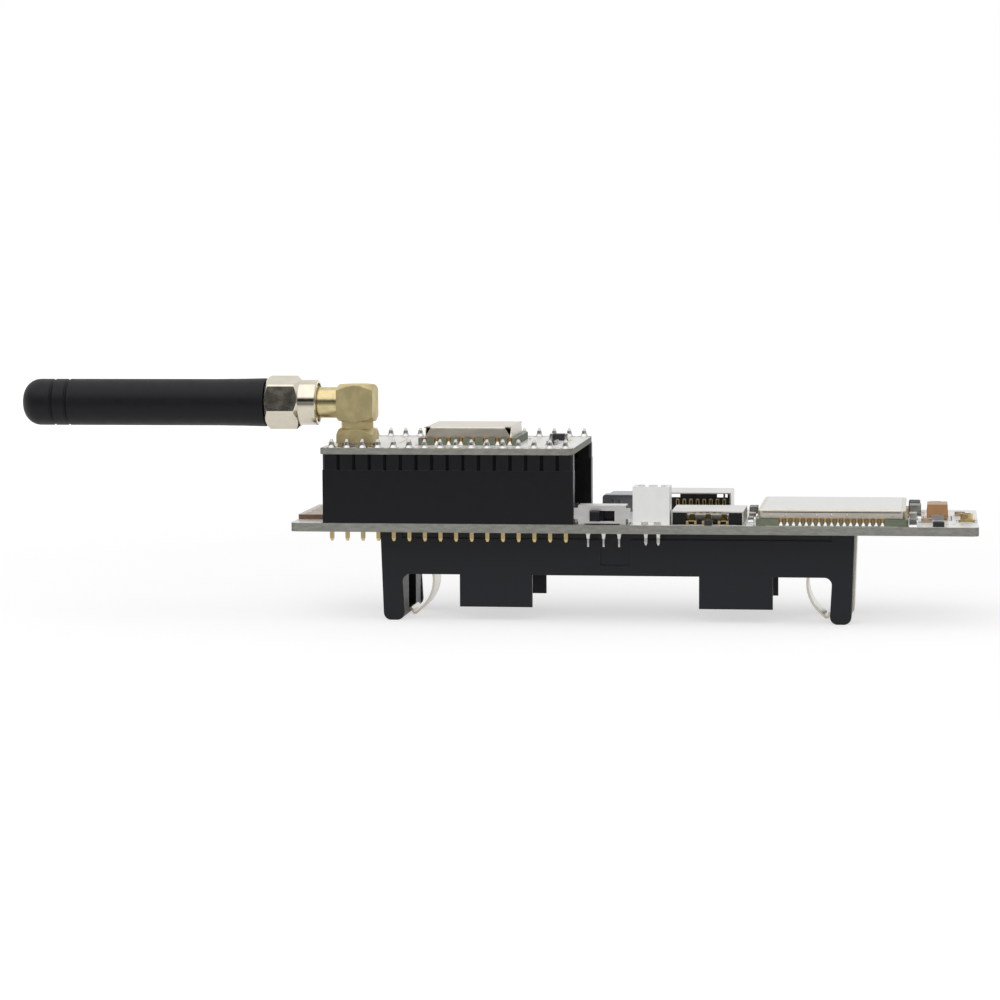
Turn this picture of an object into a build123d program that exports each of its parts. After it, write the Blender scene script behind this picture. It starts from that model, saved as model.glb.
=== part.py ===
from build123d import *
import os
from math import atan2, cos, degrees, radians, sin, tan

# Two-board radio stack: a long main board that stands on its battery holder, and a radio
# shield plugged onto it, with a screwed-on stub antenna. Millimetres. While a piece is drawn,
# x runs from the main board's left end, y from its near edge and z from the table.
# save() then moves everything so that the origin is at the bottom centre of the whole part.

# Main board
board_length = 110.2
board_width = 30.5
board_thickness = 1.4
board_corner = 1.0

# Header rows that join the two boards
pin_pitch = 2.54
pin_count = 16
row_spacing = 27.94
first_pin_x = 6.63
pin_side = 0.64
pin_hole = 1.05
lead_hole = 0.9
pin_taper = 0.45
socket_height = 8.6
socket_width = 2.5
socket_end = 0.02
socket_cavity = 1.1
strip_height = 2.54
strip_notch = 0.35
tail_below_board = 1.55
pin_into_socket = 6.0
pin_above_shield = 1.4
contact_sheet = 0.2
contact_width = 0.7
contact_bridge = 0.4
contact_lift = 0.3
contact_drop = 1.0

# Radio shield
shield_thickness = 1.0
shield_end_left = 1.75
shield_end_right = 1.2
radio_size = 16.0
radio_centre_x = 27.9
radio_board_thickness = 0.8
radio_pad_pitch = 2.0
radio_pads = 8
radio_can_inset = 0.85
radio_can_height = 2.2
radio_can_corner = 0.7
radio_chip_size = 4.0
chip_height = 0.9
crystal_size = (2.5, 2.0, 0.6)
can_sheet = 0.2

# Right-angle coax jack
jack_x = 10.2
jack_y = 5.45
jack_axis_height = 7.05
jack_block = 5.95
jack_base_height = 2.9
jack_foot_gap = 0.6
jack_neck_radius = 2.6
jack_leg = 0.8
jack_leg_spacing = 4.8
jack_leg_below = 1.6
jack_shank_radius = 2.53
jack_thread_radius = 3.12
jack_shank_length = 3.45
block_bevel_top = 1.5
block_bevel_low = 1.3
block_bevel_slope = 0.65
thread_pitch = 0.7056
nut_travel_turns = 5
thread_run_out = 2.07
thread_bevel = 0.4
jack_mouth_radius = 2.3
jack_mouth_depth = 1.9
dielectric_radius = 2.05
jack_contact_radius = 0.635
jack_hole_gap = 0.1
dielectric_bore = 1.5
dielectric_overrun = 1.5

# Stub antenna and its coupling nut
nut_across_flats = 7.8
nut_corner_radius = 4.4
nut_bevel = 0.6
nut_turn = 18.0
nut_hex_length = 5.55
nut_skirt_length = 2.9
nut_skirt_radius = 3.72
nut_wall = 1.3
nut_relief_length = 2.4
nut_relief_radius = 3.3
thread_clearance = 0.06
running_clearance = 0.05
ferrule_radius = 2.5
ferrule_anchor_length = 7.0
ring_thickness = 0.6
ring_radius = 3.0
ring_groove = 0.35
ring_split = 0.8
antenna_pin_radius = 0.457
antenna_pin_bore = 0.5
sleeve_length = 41.0
sleeve_radius = 3.8
sleeve_flare = 0.14
flare_length = 8.0
sleeve_nut_gap = 0.1
sleeve_wall = 1.0
tip_radius = 2.3
tip_facets = 4
coil_radius = 1.9
coil_wire = 0.6
coil_turns = 5
coil_pitch = 3.8
coil_sides = 8

# Processor module under the shield
processor_length = 31.4
processor_width = 18.0
processor_board_thickness = 0.8
processor_start = 0.1
processor_antenna_zone = 6.6
processor_can_inset = 0.9
processor_can_height = 2.3
processor_pad_pitch = 1.27
processor_pads = 14
processor_pads_end = 1.5
processor_chip_size = 7.0

# Slide switch at the near edge
switch_x = 50.63
switch_front = 0.3
switch_width = 7.66
switch_depth = 3.7
switch_height = 3.1
switch_sheet = 0.3
switch_tab = 0.72
switch_tab_low = 0.95
switch_tab_high = 2.7
knob_travel = 2.2
window_low = 0.6
window_high = 2.26
knob_width = 1.6
knob_reach = 1.3
knob_end_gap = 0.1
knob_flange = 0.6
switch_pin_pitch = 2.5
switch_pin = 0.5
switch_pin_sheet = 0.3
switch_pin_extra = 0.86

# Two-way battery plug socket
plug_x = 58.45
plug_front = 0.6
plug_width = 5.9
plug_depth = 4.5
plug_height = 6.1
plug_wall = 0.75
plug_floor = 1.6
plug_pin_pitch = 2.0
plug_pin = 0.5

# Receptacle and memory card slot at the far edge
usb_x = 52.84
usb_width = 8.94
usb_depth = 7.35
usb_height = 3.2
usb_sheet = 0.3
usb_overhang = 0.5
usb_sunk = 0.4
usb_cutout_gap = 0.1
usb_rear_length = 3.0
usb_rear_corner = 0.5
usb_ear = 0.55
tongue_width = 6.7
tongue_thickness = 0.7
tongue_gap = 1.2
card_gap = 0.3
card_width = 11.75
card_depth = 9.6
card_height = 3.4
card_floor = 1.0
card_comb = 2.55
card_contact_height = 2.4
card_contact_width = 0.6
card_post = 0.35
card_sheet = 0.2
card_contact_pitch = 1.1
card_contacts_count = 8
card_first_contact = 2.95
card_wall_start = 3.35
card_wall_end = 9.45
card_back = 21.6

# SIM slot at the near edge
sim_x = 67.35
sim_front = 1.6
sim_width = 11.5
sim_depth = 11.5
sim_height = 2.15
sim_sheet = 0.2
sim_block_width = 2.1
sim_contact_pitch = 2.54
sim_contact_width = 0.8
sim_contact_sheet = 0.15
sim_tray = 0.5
sim_bump = 0.85
sim_foot_spread = 0.65
sim_foot_width = 0.4

# Cellular module
cell_size = 24.0
cell_x = 87.1
cell_y = 12.65
cell_board_thickness = 1.15
cell_pads = 17
cell_pad_pitch = 1.0
cell_frame_height = 1.1
cell_frame_inset = 0.5
cell_lid_height = 0.35
cell_lid_inset = 0.35
cell_lid_bevel = 0.15
label_inset = 1.05
label_thickness = 0.08

# Battery holder under the main board
holder_height = 14.9
holder_start = 13.85
holder_length = 76.8
holder_width = 20.0
holder_draft = 0.5
holder_wall = 0.7
holder_floor = 1.3
end_wall = 3.45
wall_taper = 0.4
side_wall_low = 7.55
foot_radius = 1.25
arch_radius = 1.2
finger_width = 11.85
finger_low = 2.3
finger_spacing = 38.9
band_height = 1.45
band_inset = 0.3
panel_width = 4.8
panel_low = 9.2
panel_depth = 0.3
spring_width = 7.0
spring_sheet = 0.35
spring_slot_gap = 0.2
spring_slot_low = 1.0
spring_slot_high = 12.7
spring_bulge = 3.8
spring_pass = 1.2
spring_dip = 0.1
spring_middle = 5.85
spring_bow = 6.2
spring_lean = 43.0
spring_bend = 0.8
spring_knee = 0.4
spring_foot = 0.35

# Small parts at the right end
capacitor_x = 103.75
capacitor_y = 15.4
capacitor_size = (3.45, 6.0, 2.35)
terminal_width = 2.2
terminal_sheet = 0.15
coax_socket_x = 108.4
coax_socket_y = 10.7

# Small chips: x, y, length, width and height of each
main_chip_places = [
    (100.2, 16.5, 1.8, 3.0, 2.2), (100.05, 26.9, 1.9, 5.0, 1.8), (103.9, 1.3, 1.8, 1.0, 0.85),
    (103.5, 27.5, 1.8, 3.0, 1.6), (73.9, 18.5, 1.3, 2.6, 1.6), (67.55, 0.65, 1.1, 1.0, 0.95),
]
# Pale ceramic parts, in the same order of figures
ceramic_places = [
    (99.9, 1.5, 1.1, 1.8, 2.2), (74.0, 7.5, 0.8, 1.6, 0.8), (100.2, 9.0, 0.8, 1.6, 0.7),
    (107.4, 20.0, 1.6, 0.8, 0.7), (102.0, 8.2, 1.6, 0.8, 0.7), (74.0, 12.5, 1.0, 1.6, 1.0),
]
# Chips beside the processor module: gap to it, then y, length, width and height
bridge_chip_places = [
    (4.5, 10.5, 5.0, 5.0, 0.9), (2.7, 20.5, 6.5, 3.5, 1.6), (10.0, 11.0, 2.9, 1.6, 1.1),
]
inductor_gap = 10.0
inductor_y = 21.5
inductor_size = 3.0
inductor_height = 1.5
shield_chip_places = [
    (41.5, 9.5, 1.6, 0.8, 0.6), (41.5, 12.0, 1.6, 0.8, 0.6), (41.5, 20.0, 2.9, 1.6, 1.1),
]

# Levels that follow from the sizes above
board_bottom = holder_height
board_top = board_bottom + board_thickness
socket_top = board_top + socket_height
strip_top = socket_top + strip_height
shield_top = strip_top + shield_thickness
jack_axis = shield_top + jack_axis_height

# Places that follow from the sizes above
centre_y = board_width / 2
row_y = {"near": centre_y - row_spacing / 2, "far": centre_y + row_spacing / 2}
pin_xs = [first_pin_x + pin_pitch * i for i in range(pin_count)]
row_middle = first_pin_x + pin_pitch * (pin_count - 1) / 2
shield_left = pin_xs[0] - shield_end_left
shield_right = pin_xs[-1] + shield_end_right
holder_end = holder_start + holder_length
holder_near = centre_y - holder_width / 2
holder_far = centre_y + holder_width / 2
jack_left = jack_x - jack_block / 2
thread_end = jack_left - jack_shank_length
jack_thread_length = nut_travel_turns * thread_pitch + thread_run_out
jack_mouth = thread_end - jack_thread_length
nut_right = thread_end + 0.1
nut_hex_right = nut_right - nut_skirt_length
nut_left = nut_hex_right - nut_hex_length
sleeve_right = nut_left - sleeve_nut_gap
antenna_tip = sleeve_right - sleeve_length
ring_left = nut_left + nut_wall + 0.1
anchor_end = sleeve_right - 2
anchor_radius = ferrule_radius + 0.2
core_radius = dielectric_radius - 0.03
reference_plane = jack_mouth + jack_mouth_depth
switch_left = switch_x - switch_width / 2
window_width = knob_width + knob_travel + 2 * knob_end_gap
knob_front = switch_front - knob_reach
usb_front = board_width + usb_overhang
usb_back = usb_front - usb_depth
usb_middle = board_top - usb_sunk + usb_height / 2
card_left = usb_x + usb_width / 2 + usb_ear + card_gap
card_right = card_left + card_width
processor_end = processor_start + processor_length
holder_foot_inner = holder_start + holder_draft + end_wall

origin_x = (antenna_tip + board_length) / 2
origin_y = (knob_front + usb_front) / 2

os.makedirs("parts", exist_ok=True)


def save(node, *solids):
    """Write the solids of one node, moved to the part's own origin."""
    move = Pos(-origin_x, -origin_y, 0)
    bodies = [move * body for solid in solids for body in solid.solids()]
    shape = bodies[0] if len(bodies) == 1 else Compound(bodies)
    export_step(shape, f"parts/{node}.step")


def block(x0, x1, y0, y1, z0, z1):
    """A box between two corners."""
    return Pos((x0 + x1) / 2, (y0 + y1) / 2, (z0 + z1) / 2) * Box(x1 - x0, y1 - y0, z1 - z0)


def upright(x, y, z0, z1, radius):
    """A round bar along z."""
    return Pos(x, y, (z0 + z1) / 2) * Cylinder(radius, z1 - z0)


def lying(x0, x1, radius):
    """A round bar along x, on the antenna's axis."""
    return Pos((x0 + x1) / 2, jack_y, jack_axis) * Rot(0, 90, 0) * Cylinder(radius, x1 - x0)


def plate(outline, z0, thickness):
    """A flat sketch raised into a plate."""
    return Pos(0, 0, z0) * extrude(outline, thickness)


def side_plate(outline, y0, y1):
    """A sketch drawn in x and z, raised along y."""
    on_side = Plane.XZ * outline
    return Pos(0, y1, 0) * extrude(on_side, y1 - y0)


def turned(profile):
    """Revolve (x, radius) points about the antenna's axis."""
    face = make_face(Polyline(*profile, close=True))
    return Pos(0, jack_y, jack_axis) * revolve(face, Axis.X)


def rounded(x0, x1, y0, y1, radius):
    """A rectangle between two corners with rounded corners."""
    return Pos((x0 + x1) / 2, (y0 + y1) / 2) * RectangleRounded(x1 - x0, y1 - y0, radius)


def square_pin(x, y, z0, z1, side, taper_low, taper_high):
    """A square pin whose ends taper to half their width."""
    half = side / 2
    shape = block(x - half, x + half, y - half, y + half, z0, z1)
    tips = []
    if taper_low:
        tips += shape.edges().group_by(Axis.Z)[0]
    if taper_high:
        tips += shape.edges().group_by(Axis.Z)[-1]
    return chamfer(tips, pin_taper, side / 4) if tips else shape


def eight_sided(radius):
    """A flat eight-sided sketch with two corners on the x axis."""
    return RegularPolygon(radius, 8)


def solder_cone(x, y, z, height, radius, side):
    """Solder drawn along a square pin from a board face; a negative height hangs down."""
    lean = degrees(atan2(radius - side * 0.68, abs(height)))
    cone = extrude(eight_sided(radius), height, taper=lean)
    return Pos(x, y, z) * (cone - Box(side, side, 4 * abs(height)))


def can_shell(x0, x1, y0, y1, z0, z1, radius):
    """A drawn metal can, open underneath."""
    outer = plate(rounded(x0, x1, y0, y1, radius), z0, z1 - z0)
    inner = block(x0 + can_sheet, x1 - can_sheet, y0 + can_sheet, y1 - can_sheet, z0 - 1, z1 - can_sheet)
    return outer - inner


def edge_pads(centre_x, middle_y, size, count, pitch, radius):
    """Plated notches along the two edges that run in x."""
    first = centre_x - pitch * (count - 1) / 2
    rows = [middle_y - size / 2, middle_y + size / 2]
    return [Pos(first + pitch * i, y) * eight_sided(radius) for i in range(count) for y in rows]


def main_board():
    outline = rounded(0, board_length, 0, board_width, board_corner)
    outline -= [Pos(x, y) * eight_sided(pin_hole / 2) for x in pin_xs for y in row_y.values()]
    outline -= [Pos(x, switch_pin_y()) * eight_sided(lead_hole / 2) for x in switch_pin_xs()]
    outline -= [Pos(x, plug_pin_y()) * eight_sided(lead_hole / 2) for x in plug_pin_xs()]
    board = plate(outline, board_bottom, board_thickness)
    reach = usb_width / 2 + usb_cutout_gap
    return board - block(usb_x - reach, usb_x + reach, usb_back - usb_cutout_gap,
                         board_width + usb_overhang, board_bottom - 1, board_top + 1)


def header_socket(y):
    """A row socket: one moulding with a cavity over each contact."""
    x0 = row_middle - pin_pitch * pin_count / 2 - socket_end
    x1 = row_middle + pin_pitch * pin_count / 2 + socket_end
    half = socket_width / 2
    body = block(x0, x1, y - half, y + half, board_top, socket_top)
    cavities = [
        block(x - socket_cavity / 2, x + socket_cavity / 2, y - socket_cavity / 2,
              y + socket_cavity / 2, board_top - 1, socket_top)
        for x in pin_xs
    ]
    return body - cavities


def header_contact(x, y):
    """A forked contact that grips the pin, with a tail through the board."""
    low = board_top + contact_lift
    bridge_top = low + contact_bridge
    high = socket_top - contact_drop
    half = contact_width / 2
    reach = pin_side / 2 + contact_sheet
    fork = block(x - half, x + half, y - reach, y + reach, low, high)
    fork -= block(x - 1, x + 1, y - pin_side / 2, y + pin_side / 2, bridge_top, high + 1)
    tail = square_pin(x, y, board_bottom - tail_below_board, low, pin_side, True, False)
    return fork + tail


def pin_strip(y):
    """The pin insulator: a row of joined eight-sided blocks."""
    half = strip_height / 2
    outline = Sketch()
    for x in pin_xs:
        cell = Rectangle(pin_pitch, min(strip_height, socket_width))
        outline += Pos(x, y) * chamfer(cell.vertices(), strip_notch)
    holes = [Pos(x, y) * Rectangle(pin_side, pin_side) for x in pin_xs]
    links = Pos(row_middle, y) * Rectangle(pin_pitch * (pin_count - 1), half)
    return plate(outline + links - holes, socket_top, strip_height)


def header_pin(x, y):
    low = socket_top - pin_into_socket
    return square_pin(x, y, low, shield_top + pin_above_shield, pin_side, True, True)


def shield_board():
    outline = rounded(shield_left, shield_right, 0, board_width, board_corner)
    outline -= [Pos(x, y) * eight_sided(pin_hole / 2) for x in pin_xs for y in row_y.values()]
    outline -= [Pos(x, y) * eight_sided(jack_leg * 0.8) for x, y in jack_leg_places()]
    outline -= Pos(jack_x, jack_y) * Circle(jack_contact_radius + jack_hole_gap)
    return plate(outline, strip_top, shield_thickness)


def jack_leg_places():
    half = jack_leg_spacing / 2
    return [(jack_x + i * half, jack_y + j * half) for i in (-1, 1) for j in (-1, 1)]


def turned_block(z0, z1, bevel_low, bevel_high):
    """A square block whose ends were bevelled on a lathe, which leaves arched edges."""
    half = jack_block / 2
    corner = half * 1.45
    profile = [(0, z0), (corner - bevel_low, z0)]
    if bevel_low:
        profile.append((corner, z0 + bevel_low * block_bevel_slope))
    profile += [(corner, z1 - bevel_high * block_bevel_slope), (corner - bevel_high, z1), (0, z1)]
    spun = revolve(Plane.XZ * make_face(Polyline(*profile, close=True)), Axis.Z)
    square = block(-half, half, -half, half, z0, z1)
    return Pos(jack_x, jack_y, 0) * (square & spun)


def jack_body():
    """Right-angle coax jack: legged base, turned neck, block, shank and thread in one piece."""
    foot = shield_top
    base_top = foot + jack_base_height
    block_low = jack_axis - jack_block / 2
    block_high = jack_axis + jack_block / 2
    body = turned_block(foot + jack_foot_gap, base_top, 0, block_bevel_top)
    body += upright(jack_x, jack_y, base_top - 0.2, block_low + 0.2, jack_neck_radius)
    body += turned_block(block_low, block_high, block_bevel_low, block_bevel_top)
    bevel = thread_bevel
    body += turned([(jack_mouth, 0), (jack_mouth, jack_thread_radius - bevel),
                    (jack_mouth + bevel, jack_thread_radius),
                    (thread_end - bevel, jack_thread_radius),
                    (thread_end, jack_shank_radius), (jack_x, jack_shank_radius), (jack_x, 0)])
    reach = jack_leg / 2
    for x, y in jack_leg_places():
        body += block(x - reach, x + reach, y - reach, y + reach,
                      strip_top - jack_leg_below, foot + jack_foot_gap + 0.2)
    body -= lying(jack_mouth - 1, reference_plane, jack_mouth_radius)
    body -= lying(reference_plane - 0.1, jack_x + dielectric_overrun, dielectric_radius)
    body -= upright(jack_x, jack_y, foot - 1, jack_axis, dielectric_bore)
    return body


def jack_insulator():
    """The white dielectric, bored for the centre contact on both legs."""
    shape = lying(reference_plane, jack_x + dielectric_overrun, dielectric_radius)
    shape += upright(jack_x, jack_y, shield_top, jack_axis, dielectric_bore)
    shape -= lying(reference_plane - 1, jack_x + jack_contact_radius, jack_contact_radius)
    return shape - upright(jack_x, jack_y, shield_top - 1, jack_axis, jack_contact_radius)


def jack_contact():
    """Centre contact: a bored socket that turns down into the solder tail."""
    shape = lying(reference_plane, jack_x + jack_contact_radius, jack_contact_radius)
    shape += upright(jack_x, jack_y, strip_top - jack_leg_below, jack_axis, jack_contact_radius)
    return shape - lying(reference_plane - 1, reference_plane + 4, antenna_pin_bore)


def coupling_nut():
    """Hexagon with turned bevels, a round skirt, a bored back wall and a threaded mouth."""
    corner = nut_across_flats / 2 / cos(radians(30))
    prism = RegularPolygon(corner, 6)
    bar = extrude(Plane.YZ * (Rot(0, 0, nut_turn) * prism), nut_hex_length)
    bar = Pos(nut_left, jack_y, jack_axis) * bar
    high, low = nut_corner_radius, nut_corner_radius - nut_bevel
    bar &= turned([(nut_left, 0), (nut_left, low), (nut_left + nut_bevel, high),
                   (nut_hex_right - nut_bevel, high), (nut_hex_right, low), (nut_hex_right, 0)])
    bar += turned([(nut_hex_right - 0.5, 0), (nut_hex_right - 0.5, nut_skirt_radius),
                   (nut_right - 0.15, nut_skirt_radius), (nut_right, nut_skirt_radius - 0.15),
                   (nut_right, 0)])
    wall_end = nut_left + nut_wall
    thread_bore = jack_thread_radius + thread_clearance
    bar -= lying(nut_left - 1, nut_right, ferrule_radius + running_clearance)
    bar -= lying(wall_end, wall_end + nut_relief_length, nut_relief_radius)
    bar -= lying(wall_end, nut_right + 1, thread_bore)
    return bar


def antenna_ferrule():
    """Turned root of the antenna: anchor, journal for the nut, ring groove and mating nose."""
    back = sleeve_right - ferrule_anchor_length
    ring_right = ring_left + ring_thickness
    nose = jack_mouth_radius - running_clearance
    shoulder = ferrule_radius + ring_groove
    shape = turned([(back, 0), (back, anchor_radius), (anchor_end, anchor_radius),
                    (anchor_end, ferrule_radius), (ring_left, ferrule_radius),
                    (ring_left, ferrule_radius - ring_groove),
                    (ring_right, ferrule_radius - ring_groove), (ring_right, shoulder),
                    (jack_mouth - 0.02, shoulder), (jack_mouth - 0.02, nose),
                    (reference_plane - 0.15, nose), (reference_plane - 0.15, 0)])
    return shape - lying(back - 1, jack_mouth + 3, core_radius)


def antenna_ring():
    """Retaining ring in the ferrule's groove, behind which the nut pulls."""
    ring_right = ring_left + ring_thickness
    ring = lying(ring_left, ring_right, ring_radius)
    ring -= lying(ring_left - 1, ring_right + 1, ferrule_radius - ring_groove)
    return ring - block(ring_left - 1, ring_right + 1, jack_y - ring_split / 2,
                        jack_y + ring_split / 2, jack_axis, jack_axis + ring_radius + 1)


def antenna_insulator():
    back = sleeve_right - ferrule_anchor_length
    shape = lying(back, reference_plane - 0.1, core_radius)
    return shape - lying(back - 1, reference_plane, antenna_pin_radius)


def antenna_pin():
    """Centre pin with a rounded nose that enters the jack's socket."""
    back = sleeve_right - ferrule_anchor_length - 1.5
    nose = reference_plane + 1.3
    r = antenna_pin_radius
    return turned([(back, 0), (back, r), (nose - 0.3, r), (nose, 0.2), (nose, 0)])


def antenna_sleeve():
    """Moulded sleeve with a domed tip and a slight flare at the nut, hollow for the coil."""
    tip, r = antenna_tip, sleeve_radius
    turns = [radians(90 * i / tip_facets) for i in range(tip_facets + 1)]
    profile = [(tip, 0)]
    profile += [(tip + tip_radius * (1 - cos(a)), r - tip_radius * (1 - sin(a))) for a in turns]
    profile += [(sleeve_right - flare_length, r), (sleeve_right, r + sleeve_flare),
                (sleeve_right, ferrule_radius), (anchor_end, ferrule_radius),
                (anchor_end, anchor_radius)]
    back = sleeve_right - ferrule_anchor_length
    profile += [(back, anchor_radius), (back, r - sleeve_wall),
                (tip + tip_radius + sleeve_wall, r - sleeve_wall),
                (tip + tip_radius + sleeve_wall, 0)]
    return turned(profile)


def coil_leg(i):
    """One straight leg of the coil, which takes a turn in eight legs."""
    angle = 360 / coil_sides
    half = coil_radius * sin(radians(angle / 2))
    flat = coil_radius * cos(radians(angle / 2))
    rise = coil_pitch / coil_sides
    slant = degrees(atan2(rise, 2 * half))
    leg = Rot(0, -slant, 0) * Box(2 * half + coil_wire / 2, coil_wire, coil_wire)
    return Rot(0, 0, angle * i) * Pos(0, flat, -rise * i) * leg


def antenna_coil():
    """The radiator: a square wire coil whose last end stands on the centre pin."""
    start = sleeve_right - ferrule_anchor_length - 1.5
    wire = Part() + [coil_leg(i) for i in range(coil_sides * coil_turns)]
    foot = block(-coil_wire / 2, coil_wire / 2, 0, coil_radius, -coil_wire / 2, coil_wire / 2)
    return Pos(start - coil_wire / 2, jack_y, jack_axis) * Rot(0, 90, 0) * (wire + foot)


def radio_module_board():
    x, y = radio_centre_x, centre_y
    half = radio_size / 2
    outline = rounded(x - half, x + half, y - half, y + half, 0.2)
    outline -= edge_pads(x, y, radio_size, radio_pads, radio_pad_pitch, 0.35)
    return plate(outline, shield_top, radio_board_thickness)


def radio_can():
    half = radio_size / 2
    inset = radio_can_inset
    z0 = shield_top + radio_board_thickness
    x, y = radio_centre_x, centre_y
    can = can_shell(x - half + inset, x + half - inset, y - half + inset, y + half - inset,
                    z0, z0 + radio_can_height, 0.4)
    low, notch = z0 - 1, radio_can_corner
    for i in (-1, 1):
        for j in (-1, 1):
            cx, cy = x + i * (half - inset), y + j * (half - inset)
            can -= block(cx - notch, cx + notch, cy - notch, cy + notch, low, z0 + notch)
    return can


def chip(x, y, z, length, width, height, bevel=0.15):
    """A moulded chip with a slight bevel round its top."""
    body = block(x - length / 2, x + length / 2, y - width / 2, y + width / 2, z, z + height)
    return chamfer(body.edges().group_by(Axis.Z)[-1], bevel)


def radio_chip():
    return chip(radio_centre_x - 1, centre_y, shield_top + radio_board_thickness,
                radio_chip_size, radio_chip_size, chip_height)


def radio_crystal():
    """The radio's timing crystal, in a flat metal case."""
    length, width, height = crystal_size
    return chip(radio_centre_x + radio_size / 4, centre_y, shield_top + radio_board_thickness,
                length, width, height)


def processor_chip():
    middle = (processor_start + processor_antenna_zone + processor_end) / 2
    return chip(middle, centre_y, board_top + processor_board_thickness,
                processor_chip_size, processor_chip_size, chip_height)


def processor_board():
    outline = rounded(processor_start, processor_end, centre_y - processor_width / 2,
                      centre_y + processor_width / 2, 0.2)
    pads_x = processor_end - processor_pads_end - processor_pad_pitch * (processor_pads - 1) / 2
    outline -= edge_pads(pads_x, centre_y, processor_width, processor_pads, processor_pad_pitch, 0.25)
    return plate(outline, board_top, processor_board_thickness)


def processor_can():
    z0 = board_top + processor_board_thickness
    wide = processor_width / 2 - processor_can_inset
    return can_shell(processor_start + processor_antenna_zone,
                     processor_end - processor_can_inset,
                     centre_y - wide, centre_y + wide, z0, z0 + processor_can_height, 0.6)


def switch_pin_xs():
    return [switch_x + switch_pin_pitch * i for i in (-1, 0, 1)]


def switch_pin_y():
    return switch_front + switch_depth * 0.7


def switch_frame():
    """Folded steel frame: front plate with window, roof, back plate and end lugs."""
    x0, x1 = switch_left, switch_left + switch_width
    y0, y1 = switch_front, switch_front + switch_depth
    z0, z1 = board_top, board_top + switch_height
    t = switch_sheet
    frame = block(x0, x1, y0, y1, z0, z1) - block(x0 - 1, x1 + 1, y0 + t, y1 - t, z0 - 1, z1 - t)
    frame -= block(x0 + 1, x1 - 1, y0 - 1, y0 + t, z0 - 1, z0 + 0.2)
    frame -= block(x0 + 1.2, x1 - 1.2, y1 - t, y1 + 1, z0 - 1, z0 + 1)
    frame += block(x0 - switch_tab, x1 + switch_tab, y0, y0 + t,
                   z0 + switch_tab_low, z0 + switch_tab_high)
    half = window_width / 2
    frame -= block(switch_x - half, switch_x + half, y0 - 1, y0 + 1,
                   z0 + window_low, z0 + window_high)
    for i in (-1, 1):
        slot = switch_x + i * switch_width * 0.27
        frame -= block(slot - 1.1, slot + 1.1, y0 + 0.5, y0 + 0.9, z1 - 1, z1 + 1)
    return frame


def switch_base():
    """Black insulator inside the frame, with a channel for the knob's flange."""
    t = switch_sheet
    x0, x1 = switch_left, switch_left + switch_width
    y0, y1 = switch_front + t, switch_front + switch_depth - t
    z0, z1 = board_top, board_top + switch_height - t
    base = block(x0, x1, y0, y1, z0, z1)
    half = window_width / 2 + knob_flange
    base -= block(switch_x - half, switch_x + half, y0 - 1, y0 + 1.1,
                  z0 + window_low - 0.2, z0 + window_high + 0.2)
    thin, reach = switch_pin_sheet / 2, switch_pin / 2
    base -= [block(x - thin, x + thin, switch_pin_y() - reach, switch_pin_y() + reach,
                   z0 - 1, z0 + 1) for x in switch_pin_xs()]
    return base


def switch_knob():
    """Square knob with a flange that runs behind the front plate."""
    left = switch_x - window_width / 2 + knob_end_gap
    play = 0.05
    low, high = board_top + window_low + play, board_top + window_high - play
    back = switch_front + switch_sheet
    stem = block(left, left + knob_width, knob_front, back + 0.9, low, high)
    stem = fillet(stem.edges().group_by(Axis.Y)[0], 0.15)
    wing = knob_flange - knob_end_gap - play
    flange = block(left - wing, left + knob_width + wing, back + play, back + 0.9,
                   low - 0.1, high + 0.1)
    return stem + flange


def switch_pins():
    half, thin = switch_pin / 2, switch_pin_sheet / 2
    y = switch_pin_y()
    low = board_bottom - tail_below_board - switch_pin_extra
    pins = []
    for x in switch_pin_xs():
        pin = block(x - thin, x + thin, y - half, y + half, low, board_top + 1)
        ends = pin.edges().group_by(Axis.Z)[0].filter_by(Axis.X)
        pins.append(chamfer(ends, 0.4, 0.15))
    return pins


def plug_pin_xs():
    return [plug_x - plug_pin_pitch / 2, plug_x + plug_pin_pitch / 2]


def plug_pin_y():
    return plug_front + plug_depth * 0.45


def plug_housing():
    """Two-way plug socket, open at the top, with key slots in the far wall."""
    x0, x1 = plug_x - plug_width / 2, plug_x + plug_width / 2
    y0, y1 = plug_front, plug_front + plug_depth
    z0, z1 = board_top, board_top + plug_height
    w = plug_wall
    body = block(x0, x1, y0, y1, z0, z1)
    body -= block(x0 + w, x1 - w, y0 + w, y1 - w, z0 + plug_floor, z1 + 1)
    for x in plug_pin_xs():
        body -= block(x - 0.3, x + 0.3, y1 - w - 0.1, y1 + 1, z0 + plug_floor + 1, z1 + 1)
        body -= block(x - 0.55, x + 0.55, y0 - 1, y0 + 0.6, z0 - 1, z0 + 0.45)
        half = plug_pin / 2
        body -= block(x - half, x + half, plug_pin_y() - half, plug_pin_y() + half, z0 - 1, z1)
    return body


def plug_pins():
    top = board_top + plug_height - 1.2
    low = board_bottom - tail_below_board - 0.5
    return [square_pin(x, plug_pin_y(), low, top, plug_pin, True, True) for x in plug_pin_xs()]


def usb_section(margin, corner):
    """The receptacle's section, drawn in x and z, inside its outer face by a margin."""
    section = RectangleRounded(usb_width - 2 * margin, usb_height - 2 * margin, corner)
    return Pos(usb_x, usb_middle) * section


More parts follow.
